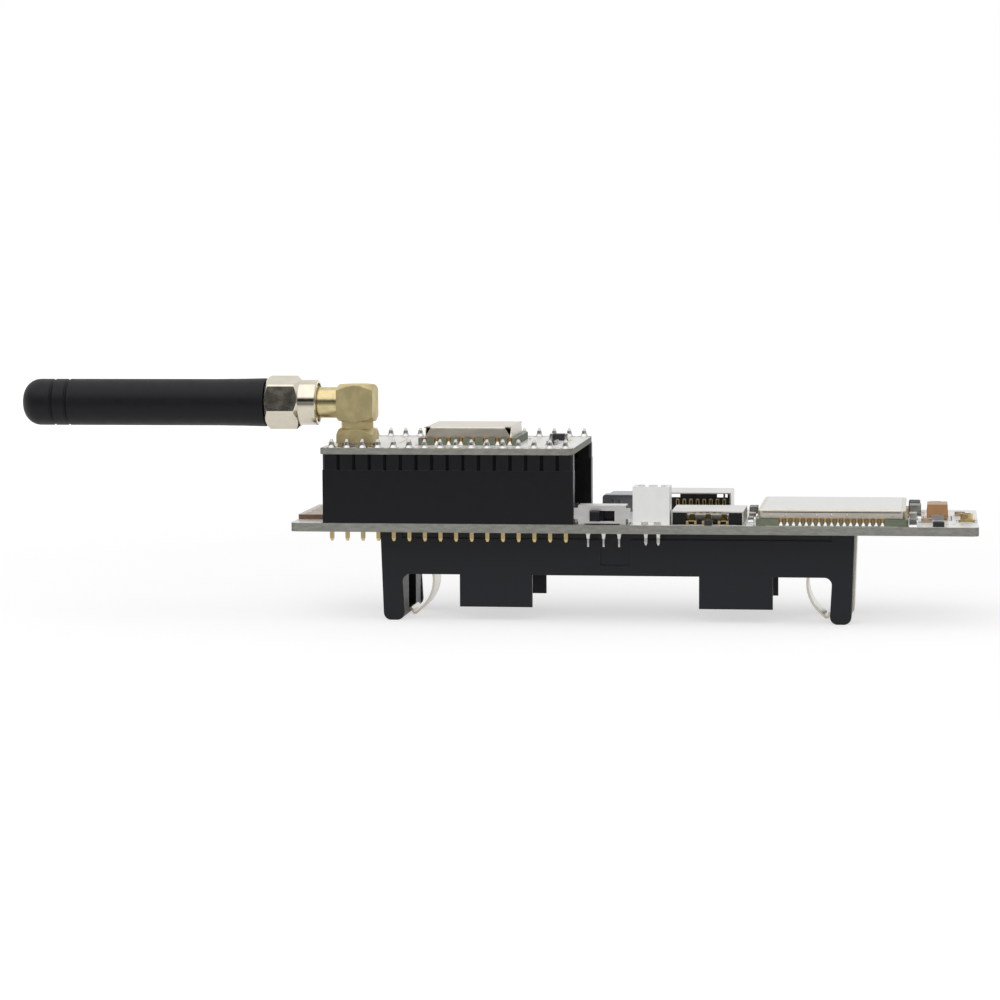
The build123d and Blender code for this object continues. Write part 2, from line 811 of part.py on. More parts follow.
def usb_shell():
    """Drawn shell let into the board's edge: square at the rear, round at its open mouth."""
    split = usb_back + usb_rear_length
    shell = side_plate(usb_section(0, usb_height / 2 - 0.1), split, usb_front)
    shell += side_plate(usb_section(0, usb_rear_corner), usb_back, split)
    inner_corner = usb_height / 2 - usb_sheet - 0.1
    shell -= side_plate(usb_section(usb_sheet, inner_corner), usb_back - 1, usb_front + 1)
    root = usb_width / 2 - usb_sheet / 2
    for a, b in ((usb_x - root - usb_ear, usb_x - root), (usb_x + root, usb_x + root + usb_ear)):
        shell += block(a, b, usb_back + 1, split - 0.5, board_top, board_top + usb_sheet)
    return shell


def usb_tongue():
    """Moulded back wall with the thin contact tongue standing out of it."""
    wall = side_plate(usb_section(usb_sheet, usb_height / 2 - usb_sheet - 0.1), usb_back, usb_back + 1.4)
    half, thin = tongue_width / 2, tongue_thickness / 2
    return wall + block(usb_x - half, usb_x + half, usb_back + 1, usb_front - tongue_gap,
                        usb_middle - thin, usb_middle + thin)


def card_shell():
    """Bent cover of the memory card slot, open at the back and at its mouth."""
    y0, y1 = card_back, card_back + card_depth
    z0, z1 = board_top, board_top + card_height
    t = card_sheet
    shell = block(card_left, card_right, y0, y1, z0, z1)
    return shell - block(card_left + t, card_right - t, y0 - 1, y1 + 1, z0 - 1, z1 - t)


def card_contact_xs():
    first = card_left + card_first_contact
    return [first + card_contact_pitch * i for i in range(card_contacts_count)]


def card_base():
    """Moulded floor of the memory card slot, with a comb, a wall and posts at the back."""
    t = card_sheet
    x0, x1 = card_left + t, card_right - t
    y0, y1 = card_back, card_back + card_depth - 0.4
    floor, roof = board_top + card_floor, board_top + card_height - t
    comb = board_top + card_comb
    base = block(x0, x1, y0, y1, board_top, floor)
    first, last = card_contact_xs()[0], card_contact_xs()[-1]
    base += block(first - card_contact_pitch, x1, y0, y0 + 1.2, floor, comb)
    deep = y0 + card_post
    base += block(card_left + card_wall_start, card_left + card_wall_end, y0, deep, comb, roof)
    for a, b in ((last - 0.15, last + 0.15), (x0, x0 + card_post), (x1 - card_post, x1)):
        base += block(a, b, y0, deep, floor, roof)
    reach = card_contact_width / 2 + 0.05
    base -= [block(x - reach, x + reach, y0 - 1, y0 + 0.9, board_top, board_top + card_contact_height + 0.05)
             for x in card_contact_xs()]
    return base


def card_contact(x):
    """One sprung finger, whose bent end stands in the comb as a narrow arch."""
    half, slit = card_contact_width / 2, card_contact_width / 5
    top = board_top + card_contact_height
    arch = block(x - half, x + half, card_back - 0.25, card_back + 0.15, board_top, top)
    arch = chamfer(arch.edges().group_by(Axis.Z)[-1].filter_by(Axis.Y), half * 0.4)
    return arch - block(x - slit, x + slit, card_back - 1, card_back + 1,
                        board_top + card_floor, top - 0.2)


def card_contacts():
    return [card_contact(x) for x in card_contact_xs()]


def sim_shell():
    """Bent cover of the SIM slot, with a bowed front lip."""
    x0, x1 = sim_x - sim_width / 2, sim_x + sim_width / 2
    y0, y1 = sim_front, sim_front + sim_depth
    t = sim_sheet
    z0, z1 = board_top, board_top + sim_height
    lip = ThreePointArc((x0 + sim_block_width, y0), (sim_x, y0 + 0.7), (x1 - sim_block_width, y0))
    edge = Polyline((x1 - sim_block_width, y0), (x1, y0), (x1, y1), (x0, y1), (x0, y0),
                    (x0 + sim_block_width, y0))
    roof = plate(make_face(lip + edge), z1 - t, t)
    sides = [block(x0, x0 + t, y0, y1, z0, z1), block(x1 - t, x1, y0, y1, z0, z1)]
    return roof + sides


def sim_base():
    """Moulded tray of the SIM slot, with a block at each side of its mouth."""
    t = sim_sheet
    x0, x1 = sim_x - sim_width / 2 + t, sim_x + sim_width / 2 - t
    y0, y1 = sim_front, sim_front + sim_depth
    top = board_top + sim_height - t
    tray = block(x0, x1, y0 + 0.6, y1, board_top, board_top + sim_tray)
    w = sim_block_width
    return tray + block(x0, x0 + w, y0 + 0.1, y0 + 4, board_top, top) + block(
        x1 - w, x1, y0 + 0.1, y0 + 4, board_top, top)


def sim_contact(x):
    """One sprung contact: two solder feet, a bar over the tray and a raised bump."""
    y, t = sim_front, sim_contact_sheet
    low = board_top + sim_tray
    high = low + sim_bump
    outline = Polyline((y + 1, low), (y + 1.6, low), (y + 2.4, high), (y + 3.2, low), (y + 6, low),
                       (y + 6, low + t), (y + 3.3, low + t), (y + 2.4, high + t),
                       (y + 1.5, low + t), (y + 1, low + t), close=True)
    half = sim_contact_width / 2
    shape = Pos(x - half, 0, 0) * extrude(Plane.YZ * make_face(outline), sim_contact_width)
    reach, foot = sim_foot_spread, sim_foot_width / 2
    shape += block(x - reach - foot, x + reach + foot, y + 0.35, y + 1.2, low, low + t)
    for middle in (x - reach, x + reach):
        shape += block(middle - foot, middle + foot, y - 0.15, y + 0.35, board_top, low + t)
    return shape


def sim_contacts():
    return [sim_contact(sim_x + sim_contact_pitch * i) for i in (-1, 0, 1)]


def cell_plate(inset, corner, z0, z1):
    """A square plate of the cellular module, inside the module's edge by an inset."""
    half = cell_size / 2 - inset
    outline = rounded(cell_x - half, cell_x + half, cell_y - half, cell_y + half, corner)
    return plate(outline, z0, z1 - z0)


def cell_board():
    board = cell_plate(0, 0.3, board_top, board_top + cell_board_thickness)
    pads = edge_pads(0, 0, cell_size, cell_pads, cell_pad_pitch, 0.3)
    notches = [turn * pad for pad in pads for turn in (Rot(0, 0, 0), Rot(0, 0, 90))]
    cutters = [extrude(notch, 2 * cell_board_thickness) for notch in notches]
    return board - [Pos(cell_x, cell_y, board_top - 0.5) * cutter for cutter in cutters]


def cell_levels():
    z0 = board_top + cell_board_thickness
    z1 = z0 + cell_frame_height
    return z0, z1, z1 + cell_lid_height


def cell_frame():
    """Soldered wall of the cellular module's shield."""
    z0, z1, z2 = cell_levels()
    inset = cell_frame_inset
    return cell_plate(inset, 0.6, z0, z1) - cell_plate(inset + can_sheet, 0.4, z0 - 1, z1 + 1)


def cell_lid():
    """Snap-on lid that overhangs the wall: a shallow tray with a bevelled rim."""
    z0, z1, z2 = cell_levels()
    lid = cell_plate(cell_lid_inset, 0.6, z1, z2)
    lid = chamfer(lid.edges().group_by(Axis.Z)[-1], cell_lid_bevel)
    return lid - cell_plate(cell_frame_inset + can_sheet, 0.4, z1 - 1, z2 - can_sheet)


def cell_label():
    """Bare paper label on the lid."""
    top = cell_levels()[2]
    return cell_plate(label_inset, 0.5, top, top + label_thickness)


def tantalum_capacitor():
    """Moulded capacitor with a mould line; it lies with its ends towards the near and far edges."""
    length, width, height = capacitor_size
    x, y = capacitor_x, capacitor_y
    low = board_top + terminal_sheet
    middle = low + height * 0.3
    waist = Pos(x, y, middle) * Rectangle(length, width)
    return extrude(waist, low - middle, taper=6) + extrude(waist, low + height - middle, taper=4)


def capacitor_ends():
    """Bent end terminals, from under the body up to its mould line."""
    length, width, height = capacitor_size
    half, t = terminal_width / 2, terminal_sheet
    ends = []
    for side in (-1, 1):
        edge = capacitor_y + side * width / 2
        a, b = sorted((edge, edge + side * t))
        c, d = sorted((edge - side * 1.2, edge + side * t))
        wall = block(capacitor_x - half, capacitor_x + half, a, b, board_top, board_top + t + height * 0.3)
        ends.append(wall + block(capacitor_x - half, capacitor_x + half, c, d, board_top, board_top + t))
    return ends


def main_chips():
    """Moulded chips on the main board: power, charger and USB bridge parts."""
    places = list(main_chip_places)
    for gap, y, length, width, height in bridge_chip_places:
        places.append((processor_end + gap + length / 2, y, length, width, height))
    return [chip(x, y, board_top, length, width, height) for x, y, length, width, height in places]


def ceramic_parts():
    """Small ceramic capacitors and resistors on the main board."""
    return [chip(x, y, board_top, length, width, height, 0.05)
            for x, y, length, width, height in ceramic_places]


def power_inductor():
    """Moulded power inductor with cut corners."""
    x = processor_end + inductor_gap + inductor_size / 2
    outline = Rectangle(inductor_size, inductor_size)
    outline = chamfer(outline.vertices(), inductor_size / 6)
    return plate(Pos(x, inductor_y) * outline, board_top, inductor_height)


def shield_chips():
    """The few small parts on the shield."""
    return [chip(x, y, shield_top, length, width, height)
            for x, y, length, width, height in shield_chip_places]


def coax_socket(x, y):
    """Miniature board-mounted coax socket: square foot, ring and centre post."""
    foot = block(x - 1.3, x + 1.3, y - 1.3, y + 1.3, board_top, board_top + 0.35)
    ring = upright(x, y, board_top + 0.35, board_top + 1.25, 1.0)
    ring -= upright(x, y, board_top + 0.35, board_top + 2, 0.75)
    return foot + ring + block(x - 0.2, x + 0.2, y - 0.2, y + 0.2, board_top + 0.3, board_top + 1.0)


def holder_outline():
    """Side elevation of the battery holder: two feet, arches and four retaining fingers."""
    x0, x1 = holder_start, holder_end
    d, w = holder_draft, end_wall
    low, foot = side_wall_low, 0
    middle = (x0 + x1) / 2
    t = wall_taper
    points = [(x0, holder_height), (x0 + d, foot), (x0 + d + w, foot), (x0 + d + w - t, low)]
    for side in (-1, 1):
        centre = middle + side * finger_spacing / 2
        a, b = centre - finger_width / 2, centre + finger_width / 2
        points += [(a, low), (a, finger_low), (b, finger_low), (b, low)]
    points += [(x1 - d - w + t, low), (x1 - d - w, foot), (x1 - d, foot), (x1, holder_height)]
    outline = make_face(Polyline(*points, close=True))
    feet = [v for v in outline.vertices() if v.Y < 0.01]
    outline = fillet(feet, foot_radius)
    arches = [v for v in outline.vertices()
              if abs(v.Y - low) < 0.01 and abs(v.X - middle) > holder_length / 2 - w - d - 0.5]
    return fillet(arches, arch_radius)


def holder_face(z):
    """Where the drafted outer face of the left end wall lies at a height."""
    return holder_start + holder_draft * (holder_height - z) / holder_height


def battery_holder():
    """One moulding: end walls that are the feet, side walls, floor against the board."""
    body = side_plate(holder_outline(), holder_near, holder_far)
    x0, x1 = holder_start + end_wall + 0.15, holder_end - end_wall - 0.15
    y0, y1 = holder_near + holder_wall, holder_far - holder_wall
    ceiling = holder_height - holder_floor
    trough = Pos(centre_y, (ceiling - 2) / 2) * Rectangle(y1 - y0, ceiling + 2)
    top = [v for v in trough.vertices() if v.Y > ceiling - 0.01]
    bay = extrude(Plane.YZ * fillet(top, 3.0), x1 - x0)
    body -= Pos(x0, 0, 0) * bay
    band = holder_height - band_height
    for a, b in ((holder_near - 1, holder_near + band_inset), (holder_far - band_inset, holder_far + 1)):
        body -= block(x0, x1, a, b, band, holder_height + 1)
    middle = (holder_start + holder_end) / 2
    body -= block(middle - panel_width / 2, middle + panel_width / 2, holder_near - 1,
                  holder_near + panel_depth, panel_low, holder_height + 1)
    slot = spring_width / 2 + spring_slot_gap
    for a, b in ((holder_start - 1, x0 + 1), (x1 - 1, holder_end + 1)):
        body -= block(a, b, centre_y - slot, centre_y + slot, spring_slot_low, spring_slot_high)
    return body


def contact_spring(mirrored):
    """One bent strip: down the outer face, through the slot, a dip and a bowed leaf."""
    half_sheet = spring_sheet / 2
    inner = holder_foot_inner
    slope = tan(radians(spring_lean))
    vertex = inner + spring_bulge + spring_bow * (1 / sin(radians(spring_lean)) - 1)
    valley = vertex - (spring_middle - spring_dip) / slope
    line = FilletPolyline(
        (holder_face(board_bottom) - half_sheet, board_bottom),
        (holder_face(spring_pass) - half_sheet, spring_pass), (inner + 0.05, spring_pass),
        (valley, spring_dip), (vertex, spring_middle),
        (inner, spring_middle + (vertex - inner) * slope),
        radius=[spring_bend, spring_knee, spring_foot, spring_bow])
    sheet = trace(line, spring_sheet)
    half = spring_width / 2
    strip = side_plate(sheet, centre_y - half, centre_y + half)
    if mirrored:
        middle = (holder_start + holder_end) / 2
        strip = mirror(strip, Plane(origin=(middle, 0, 0), z_dir=(1, 0, 0)))
    return strip


def board_solder():
    """Solder under the main board, at the switch and the battery plug."""
    cones = [solder_cone(x, switch_pin_y(), board_bottom, -1.1, 0.75, switch_pin)
             for x in switch_pin_xs()]
    cones += [solder_cone(x, plug_pin_y(), board_bottom, -0.9, 0.7, plug_pin)
              for x in plug_pin_xs()]
    return cones


def shield_solder():
    """Solder on top of the shield, at every header pin."""
    return [solder_cone(x, y, shield_top, 0.85, 0.75, pin_side) for x in pin_xs for y in row_y.values()]


save("main_board", main_board())
for side, y in row_y.items():
    save(f"header_socket_{side}", header_socket(y))
    save(f"header_contacts_{side}", *[header_contact(x, y) for x in pin_xs])
    save(f"pin_strip_{side}", pin_strip(y))
    save(f"header_pins_{side}", *[header_pin(x, y) for x in pin_xs])
save("shield_board", shield_board())
save("shield_solder", *shield_solder())
save("board_solder", *board_solder())
save("jack_body", jack_body())
save("jack_insulator", jack_insulator())
save("jack_contact", jack_contact())
save("antenna_nut", coupling_nut())
save("antenna_ferrule", antenna_ferrule())
save("antenna_ring", antenna_ring())
save("antenna_insulator", antenna_insulator())
save("antenna_pin", antenna_pin())
save("antenna_sleeve", antenna_sleeve())
save("antenna_coil", antenna_coil())
save("radio_board", radio_module_board())
save("radio_can", radio_can())
save("radio_chip", radio_chip())
save("radio_crystal", radio_crystal())
save("processor_board", processor_board())
save("processor_can", processor_can())
save("processor_chip", processor_chip())
save("switch_frame", switch_frame())
save("switch_base", switch_base())
save("switch_knob", switch_knob())
save("switch_pins", *switch_pins())
save("plug_housing", plug_housing())
save("plug_pins", *plug_pins())
save("usb_shell", usb_shell())
save("usb_tongue", usb_tongue())
save("card_shell", card_shell())
save("card_base", card_base())
save("card_contacts", *card_contacts())
save("sim_shell", sim_shell())
save("sim_base", sim_base())
save("sim_contacts", *sim_contacts())
save("cell_board", cell_board())
save("cell_frame", cell_frame())
save("cell_lid", cell_lid())
save("cell_label", cell_label())
save("tantalum_capacitor", tantalum_capacitor())
save("capacitor_ends", *capacitor_ends())
save("main_chips", *main_chips())
save("shield_chips", *shield_chips())
save("ceramic_parts", *ceramic_parts())
save("power_inductor", power_inductor())
save("coax_socket", coax_socket(coax_socket_x, coax_socket_y))
save("battery_holder", battery_holder())
save("contact_spring_left", contact_spring(False))
save("contact_spring_right", contact_spring(True))
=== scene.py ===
import math

import bmesh
import bpy
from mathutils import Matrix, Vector

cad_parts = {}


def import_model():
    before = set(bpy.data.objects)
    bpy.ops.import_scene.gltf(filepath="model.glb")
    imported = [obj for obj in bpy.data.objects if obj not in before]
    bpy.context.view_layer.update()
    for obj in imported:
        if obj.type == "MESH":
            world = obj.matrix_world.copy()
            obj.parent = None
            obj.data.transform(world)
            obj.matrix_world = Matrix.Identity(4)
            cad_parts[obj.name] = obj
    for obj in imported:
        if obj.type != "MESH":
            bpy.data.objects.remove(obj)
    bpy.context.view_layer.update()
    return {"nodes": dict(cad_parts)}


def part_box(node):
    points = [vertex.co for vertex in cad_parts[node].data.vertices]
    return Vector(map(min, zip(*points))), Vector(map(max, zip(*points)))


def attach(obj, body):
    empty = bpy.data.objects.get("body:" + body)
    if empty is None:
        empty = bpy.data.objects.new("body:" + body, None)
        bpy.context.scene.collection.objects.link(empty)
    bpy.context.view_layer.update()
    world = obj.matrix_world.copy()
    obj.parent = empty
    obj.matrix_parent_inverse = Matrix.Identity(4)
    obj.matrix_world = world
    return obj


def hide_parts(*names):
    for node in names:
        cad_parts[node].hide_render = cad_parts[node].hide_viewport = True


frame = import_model()
nodes = frame["nodes"]

# Lengths below are millimetres in the layout frame: x from the main board's left end, y from
# its near edge, z from its underside. place() turns them into metres in the part's frame.
MM = 0.001
BOARD_LOW = Vector(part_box("main_board")[0])

# Upper faces of the main board, of the strips that carry the shield and of the shield
BOARD_TOP = 1.4
STRIP_TOP = 12.54
SHIELD_TOP = 13.54

# The header rows that join the boards, and the leads that pass through the main board
PIN_XS = [6.63 + 2.54 * i for i in range(16)]
ROW_YS = (1.28, 29.22)
SWITCH_LEADS = [(x, 2.89) for x in (48.13, 50.63, 53.13)]
PLUG_LEADS = [(x, 2.625) for x in (57.45, 59.45)]

# The antenna's axis, which is also that of the jack's thread
AXIS_Y, AXIS_Z = 5.45, 20.59

# The modules: centre, half of the depth and thickness of the board
CELL_X, CELL_Y, CELL_HALF, CELL_THICK = 87.1, 12.65, 12.0, 1.15
RADIO_X, RADIO_Y, RADIO_HALF, RADIO_THICK = 27.9, 15.25, 8.0, 1.2
PROCESSOR_X, PROCESSOR_Y, PROCESSOR_HALF, PROCESSOR_THICK = 21.745, 15.25, 9.0, 0.8

# The radio module's plated notches and its full height
RADIO_PADS, RADIO_PITCH, RADIO_NOTCH = 8, 2.0, 0.35
RADIO_HEIGHT = 3.0

# The middle of the USB receptacle
USB_X, USB_Z = 52.84, 2.6

# Two-ended parts: x, y, length, width and height of each
MAIN_PARTS = [
    (99.9, 1.5, 1.1, 1.8, 2.2), (74.0, 7.5, 0.8, 1.6, 0.8), (100.2, 9.0, 0.8, 1.6, 0.7),
    (107.4, 20.0, 1.6, 0.8, 0.7), (102.0, 8.2, 1.6, 0.8, 0.7), (74.0, 12.5, 1.0, 1.6, 1.0),
    (100.2, 16.5, 1.8, 3.0, 2.2), (103.5, 27.5, 1.8, 3.0, 1.6), (73.9, 18.5, 1.3, 2.6, 1.6),
]
SHIELD_PARTS = [
    (41.5, 9.5, 1.6, 0.8, 0.6), (41.5, 12.0, 1.6, 0.8, 0.6), (41.5, 20.0, 2.9, 1.6, 1.1),
]

# Directions outward from the four sides of a square
SIDES = ((1, 0), (0, 1), (-1, 0), (0, -1))


def place(x, y, z):
    """A layout point in the part's own frame."""
    return BOARD_LOW + Vector((x, y, z)) * MM


def linear(hex_colour):
    """An sRGB hex colour as linear RGBA."""
    parts = [int(hex_colour[i:i + 2], 16) / 255 for i in (0, 2, 4)]
    return [c / 12.92 if c < 0.04045 else ((c + 0.055) / 1.055) ** 2.4 for c in parts] + [1.0]


def scaled(colour, factor):
    """A linear colour made darker or lighter."""
    return [min(1.0, c * factor) for c in colour[:3]] + [1.0]


# Node helpers
def add(tree, kind, inputs=None, **settings):
    """Add a shader node: settings are its attributes, inputs are values or sockets to link."""
    made = tree.nodes.new("ShaderNode" + kind)
    for name, value in settings.items():
        setattr(made, name, value)
    for name, value in (inputs or {}).items():
        if isinstance(value, bpy.types.NodeSocket):
            tree.links.new(value, made.inputs[name])
        else:
            made.inputs[name].default_value = value
    return made


def mix_colour(tree, factor, first, second):
    """The colour between two colours or colour sockets."""
    return add(tree, "Mix", {0: factor, 6: first, 7: second}, data_type="RGBA").outputs[2]


def band(tree, value, low, high, to_low=0.0, to_high=1.0):
    """Map a value from one range to another, held at the ends."""
    return add(tree, "MapRange", {"Value": value, "From Min": low, "From Max": high,
                                  "To Min": to_low, "To Max": to_high}).outputs["Result"]


def maths(tree, operation, *values):
    """One step of arithmetic on values or sockets."""
    return add(tree, "Math", dict(enumerate(values)), operation=operation).outputs[0]


def millimetres(tree):
    """Object coordinates in millimetres."""
    where = add(tree, "TexCoord").outputs["Object"]
    return add(tree, "VectorMath", {0: where, "Scale": 1 / MM}, operation="SCALE").outputs["Vector"]


def stretched(tree, where, scale):
    """Coordinates scaled apart along x, y and z."""
    return add(tree, "VectorMath", {0: where, 1: scale}, operation="MULTIPLY").outputs["Vector"]


def surface(name, colour, roughness, metallic=0.0, edge=0.08, grain=0.15, grain_depth=0.002,
            stretch=(1, 1, 1), mottle=0.12, spread=0.08, edge_highlight_colour=None, gloss=0.5):
    """A principled material with rounded edges, fine grain and a slight mottle.

    edge is the radius of the rounding, grain the grain's size and grain_depth its depth, all in
    millimetres; mottle is how much darker the dark patches are and spread how much the roughness
    varies; edge_highlight_colour is a lighter colour painted on rounded edges as a highlight;
    gloss is how strongly a skin that is not metal mirrors.
    """
    material = bpy.data.materials.new(name)
    material.use_nodes = True
    tree = material.node_tree
    shader = tree.nodes["Principled BSDF"]
    shader.inputs["Metallic"].default_value = metallic
    shader.inputs["Specular IOR Level"].default_value = gloss
    where = stretched(tree, millimetres(tree), stretch)
    fine = add(tree, "TexNoise", {"Vector": where, "Scale": 1 / grain, "Detail": 3.0})
    broad = add(tree, "TexNoise", {"Vector": where, "Scale": 0.6, "Detail": 2.0}).outputs["Fac"]
    base = linear(colour)
    tone = mix_colour(tree, band(tree, broad, 0.35, 0.65), scaled(base, 1 - mottle), base)
    rough = band(tree, broad, 0.3, 0.7, roughness - spread / 2, roughness + spread / 2)
    tree.links.new(rough, shader.inputs["Roughness"])
    bump = add(tree, "Bump", {"Height": fine.outputs["Fac"], "Strength": 1.0,
                              "Distance": grain_depth * MM})
    if edge:
        bevel = add(tree, "Bevel", {"Radius": edge * MM}, samples=4).outputs["Normal"]
        tree.links.new(bevel, bump.inputs["Normal"])
        if edge_highlight_colour:
            # the rounded normal leaves the flat face's own normal only near an edge
            flat = add(tree, "NewGeometry").outputs["Normal"]
            turn = add(tree, "VectorMath", {0: bevel, 1: flat}, operation="DOT_PRODUCT")
            edge_highlight_share = band(tree, turn.outputs["Value"], 0.88, 0.99, 0.55, 0.0)
            # painted highlight: near a rounded edge the colour turns lighter, standing in for the
            # light that edge catches
            tone = mix_colour(tree, edge_highlight_share, tone, linear(edge_highlight_colour))
    tree.links.new(tone, shader.inputs["Base Color"])
    tree.links.new(bump.outputs["Normal"], shader.inputs["Normal"])
    return material


def board_surface(name, mask, core, roughness=0.3):
    """Solder mask with buried tracks on the flat faces, routed glass laminate on the cut edges."""
    material = surface(name, mask, roughness, edge=0.0, grain=0.8, grain_depth=0.004,
                       mottle=0.03, spread=0.06)
    tree = material.node_tree
    shader = tree.nodes["Principled BSDF"]
    facing = add(tree, "TexCoord").outputs["Normal"]
    upward = add(tree, "SeparateXYZ", {0: facing}).outputs["Z"]
    on_edge = maths(tree, "LESS_THAN", maths(tree, "ABSOLUTE", upward), 0.5)
    where = millimetres(tree)
    # tracks 0.24 mm wide, 1.3 mm apart, that show in patches a few millimetres long
    tracks = add(tree, "TexBrick", {"Vector": where, "Scale": 1.0, "Mortar Size": 0.12,
                                    "Mortar Smooth": 0.3, "Brick Width": 31.0, "Row Height": 1.3,
                                    "Color1": (0, 0, 0, 1), "Color2": (0, 0, 0, 1),
                                    "Mortar": (1, 1, 1, 1)}).outputs["Fac"]
    patches = add(tree, "TexNoise", {"Vector": where, "Scale": 0.22, "Detail": 0.0}).outputs["Fac"]
    track = maths(tree, "MULTIPLY", tracks, band(tree, patches, 0.5, 0.54))
    top = shader.inputs["Base Color"].links[0].from_socket
    covered = scaled(linear(mask), 0.86)
    top = mix_colour(tree, maths(tree, "MULTIPLY", track, 0.5), top, covered)
    bump = add(tree, "Bump", {"Height": track, "Strength": 1.0, "Distance": 0.03 * MM})
    fine = shader.inputs["Normal"].links[0].from_node
    tree.links.new(bump.outputs["Normal"], fine.inputs["Normal"])
    # layers of glass cloth in the cut edge, drawn twice as coarse as 0.15 mm so that they show
    layers = stretched(tree, where, (0.9, 0.9, 3.3))
    weave = add(tree, "TexNoise", {"Vector": layers, "Scale": 1.0, "Detail": 2.0}).outputs["Fac"]
    cut = linear(core)
    laminate = mix_colour(tree, band(tree, weave, 0.35, 0.65), cut, scaled(cut, 1.3))
    tree.links.new(mix_colour(tree, on_edge, top, laminate), shader.inputs["Base Color"])
    rough = maths(tree, "MULTIPLY_ADD", on_edge, 0.45, roughness)
    tree.links.new(rough, shader.inputs["Roughness"])
    return material


def matt_past(material, start, turned=0.24, milled=0.55):
    """Two roughnesses along the jack: turned up to a place on its axis, milled past it."""
    tree = material.node_tree
    shader = tree.nodes["Principled BSDF"]
    x = add(tree, "SeparateXYZ", {0: millimetres(tree)}).outputs["X"]
    where = start + BOARD_LOW.x / MM
    rough = band(tree, x, where - 0.1, where, turned, milled)
    tree.links.new(rough, shader.inputs["Roughness"])
    return material


# White solder mask, screened on glass laminate: smooth, softly glossy, dull grey where cut
WHITE_BOARD = board_surface("white_solder_mask_on_glass_laminate", "ECECE8", "84847D")
# Green solder mask of the modules: the glass shows olive at the cut edge
GREEN_BOARD = board_surface("green_solder_mask_on_glass_laminate", "26392D", "666C5A")
# Black solder mask: the cut edge is brown
DARK_BOARD = board_surface("black_solder_mask_on_glass_laminate", "33302D", "6E523C",
                           roughness=0.14)
# Glass-filled nylon, moulded: a dull black, its rounded edges painted lighter as a highlight
HEADER = surface("glass_filled_nylon_moulded", "0C0D10", 0.4, edge=0.08, grain=0.25,
                 grain_depth=0.001, edge_highlight_colour="2A2D33", gloss=0.3)
# ABS, moulded in a spark-eroded tool: satin, bluish black, its rounded edges painted lighter as a
# highlight
HOLDER = surface("abs_moulded_satin", "12151B", 0.4, edge=0.2, grain=0.4, grain_depth=0.004,
                 edge_highlight_colour="2E343C", gloss=0.35)
# Rubber-like elastomer, overmoulded: soft dull sheen
RUBBER = surface("thermoplastic_elastomer_moulded", "101114", 0.5, edge=0.0, grain=0.4,
                 grain_depth=0.003, mottle=0.2, gloss=0.25)
# Epoxy, transfer moulded: matt charcoal, its rounded edges painted lighter as a highlight
CHIP = surface("epoxy_transfer_moulded", "232428", 0.6, edge=0.05, grain=0.08, grain_depth=0.004,
               edge_highlight_colour="3A3C42")
# Natural nylon, moulded: milky white with a satin skin
WHITE_PLASTIC = surface("natural_nylon_moulded", "F2F2EF", 0.4, edge=0.12, mottle=0.03)
# PTFE, turned: waxy white
DIELECTRIC = surface("ptfe_turned", "F0F0EC", 0.5, edge=0.05, mottle=0.02)
# Orange epoxy, moulded round a tantalum slug: semi-gloss
TANTALUM = surface("orange_epoxy_moulded", "AE8156", 0.38, edge=0.1, mottle=0.12)
# Barium titanate, fired: fine-grained and tan
CERAMIC = surface("multilayer_ceramic_fired", "B59A78", 0.5, edge=0.05, mottle=0.15)
# Coated paper: flat and bright
PAPER = surface("coated_paper", "F4F4F2", 0.6, edge=0.0, mottle=0.02, grain=0.1, grain_depth=0.001)
# Epoxy ink of the boards' outlines, screened and baked; it also paints the shade inside the vias
# and in the gap at the can's lid
INK_AND_PAINTED_SHADE = surface("epoxy_ink_and_painted_shade", "3C3E42", 0.55, edge=0.0, mottle=0.08)
# Brass, turned and gold plated: pale, tumbled to a silky sheen
GOLD_PLATE = surface("brass_turned_gold_plated", "D3C495", 0.34, metallic=1.0, edge=0.12,
                     grain=0.12, grain_depth=0.0012, mottle=0.2)
# The same brass on the jack: its turned shank is silky, its milled block is matt
JACK = matt_past(surface("brass_milled_gold_plated", "D3C495", 0.34, metallic=1.0, edge=0.12,
                         grain=0.16, grain_depth=0.004, mottle=0.2), 7.2)
# Phosphor bronze, stamped and gold plated
GOLD_PIN = surface("phosphor_bronze_stamped_gold_plated", "CFB983", 0.28, metallic=1.0, edge=0.08)
# Immersion gold on copper pads: thin and slightly matt
PAD = surface("copper_pad_immersion_gold", "D0A56A", 0.36, metallic=1.0, edge=0.0, mottle=0.15)
# Brass, turned and nickel plated: a bright warm mirror
NICKEL = surface("brass_turned_nickel_plated", "D6CFBF", 0.12, metallic=1.0, edge=0.12,
                 grain=0.25, grain_depth=0.0006, mottle=0.08, spread=0.05)
# Spring steel, rolled and nickel plated: its grain is drawn out along y
SPRING = surface("spring_steel_rolled_nickel_plated", "CFC9BC", 0.2, metallic=1.0, edge=0.05,
                 stretch=(1, 0.2, 1))
# Brass wire, drawn and tin plated
TINNED = surface("brass_drawn_tin_plated", "C6C5C0", 0.3, metallic=1.0, edge=0.08)
# Solder, reflowed: bright, slightly wavy
SOLDER = surface("tin_solder_reflowed", "D2D2D0", 0.22, metallic=1.0, edge=0.0, grain=0.4,
                 grain_depth=0.03)
# Stainless steel, stamped and folded: rolling lines run along x
STEEL = surface("stainless_steel_stamped", "DEDDDA", 0.42, metallic=1.0, edge=0.06,
                stretch=(0.3, 1, 1))
# Stainless steel, deep drawn, coloured darker than the other steel as painted shade
USB_STEEL_PAINTED_SHADE = surface("stainless_steel_drawn_painted_dark", "8E9099", 0.3, metallic=1.0, edge=0.08)
# Nickel silver, stamped shielding cans: warm grey, satin
CAN = surface("nickel_silver_stamped", "DCD6CA", 0.42, metallic=1.0, edge=0.08, stretch=(0.3, 1, 1))

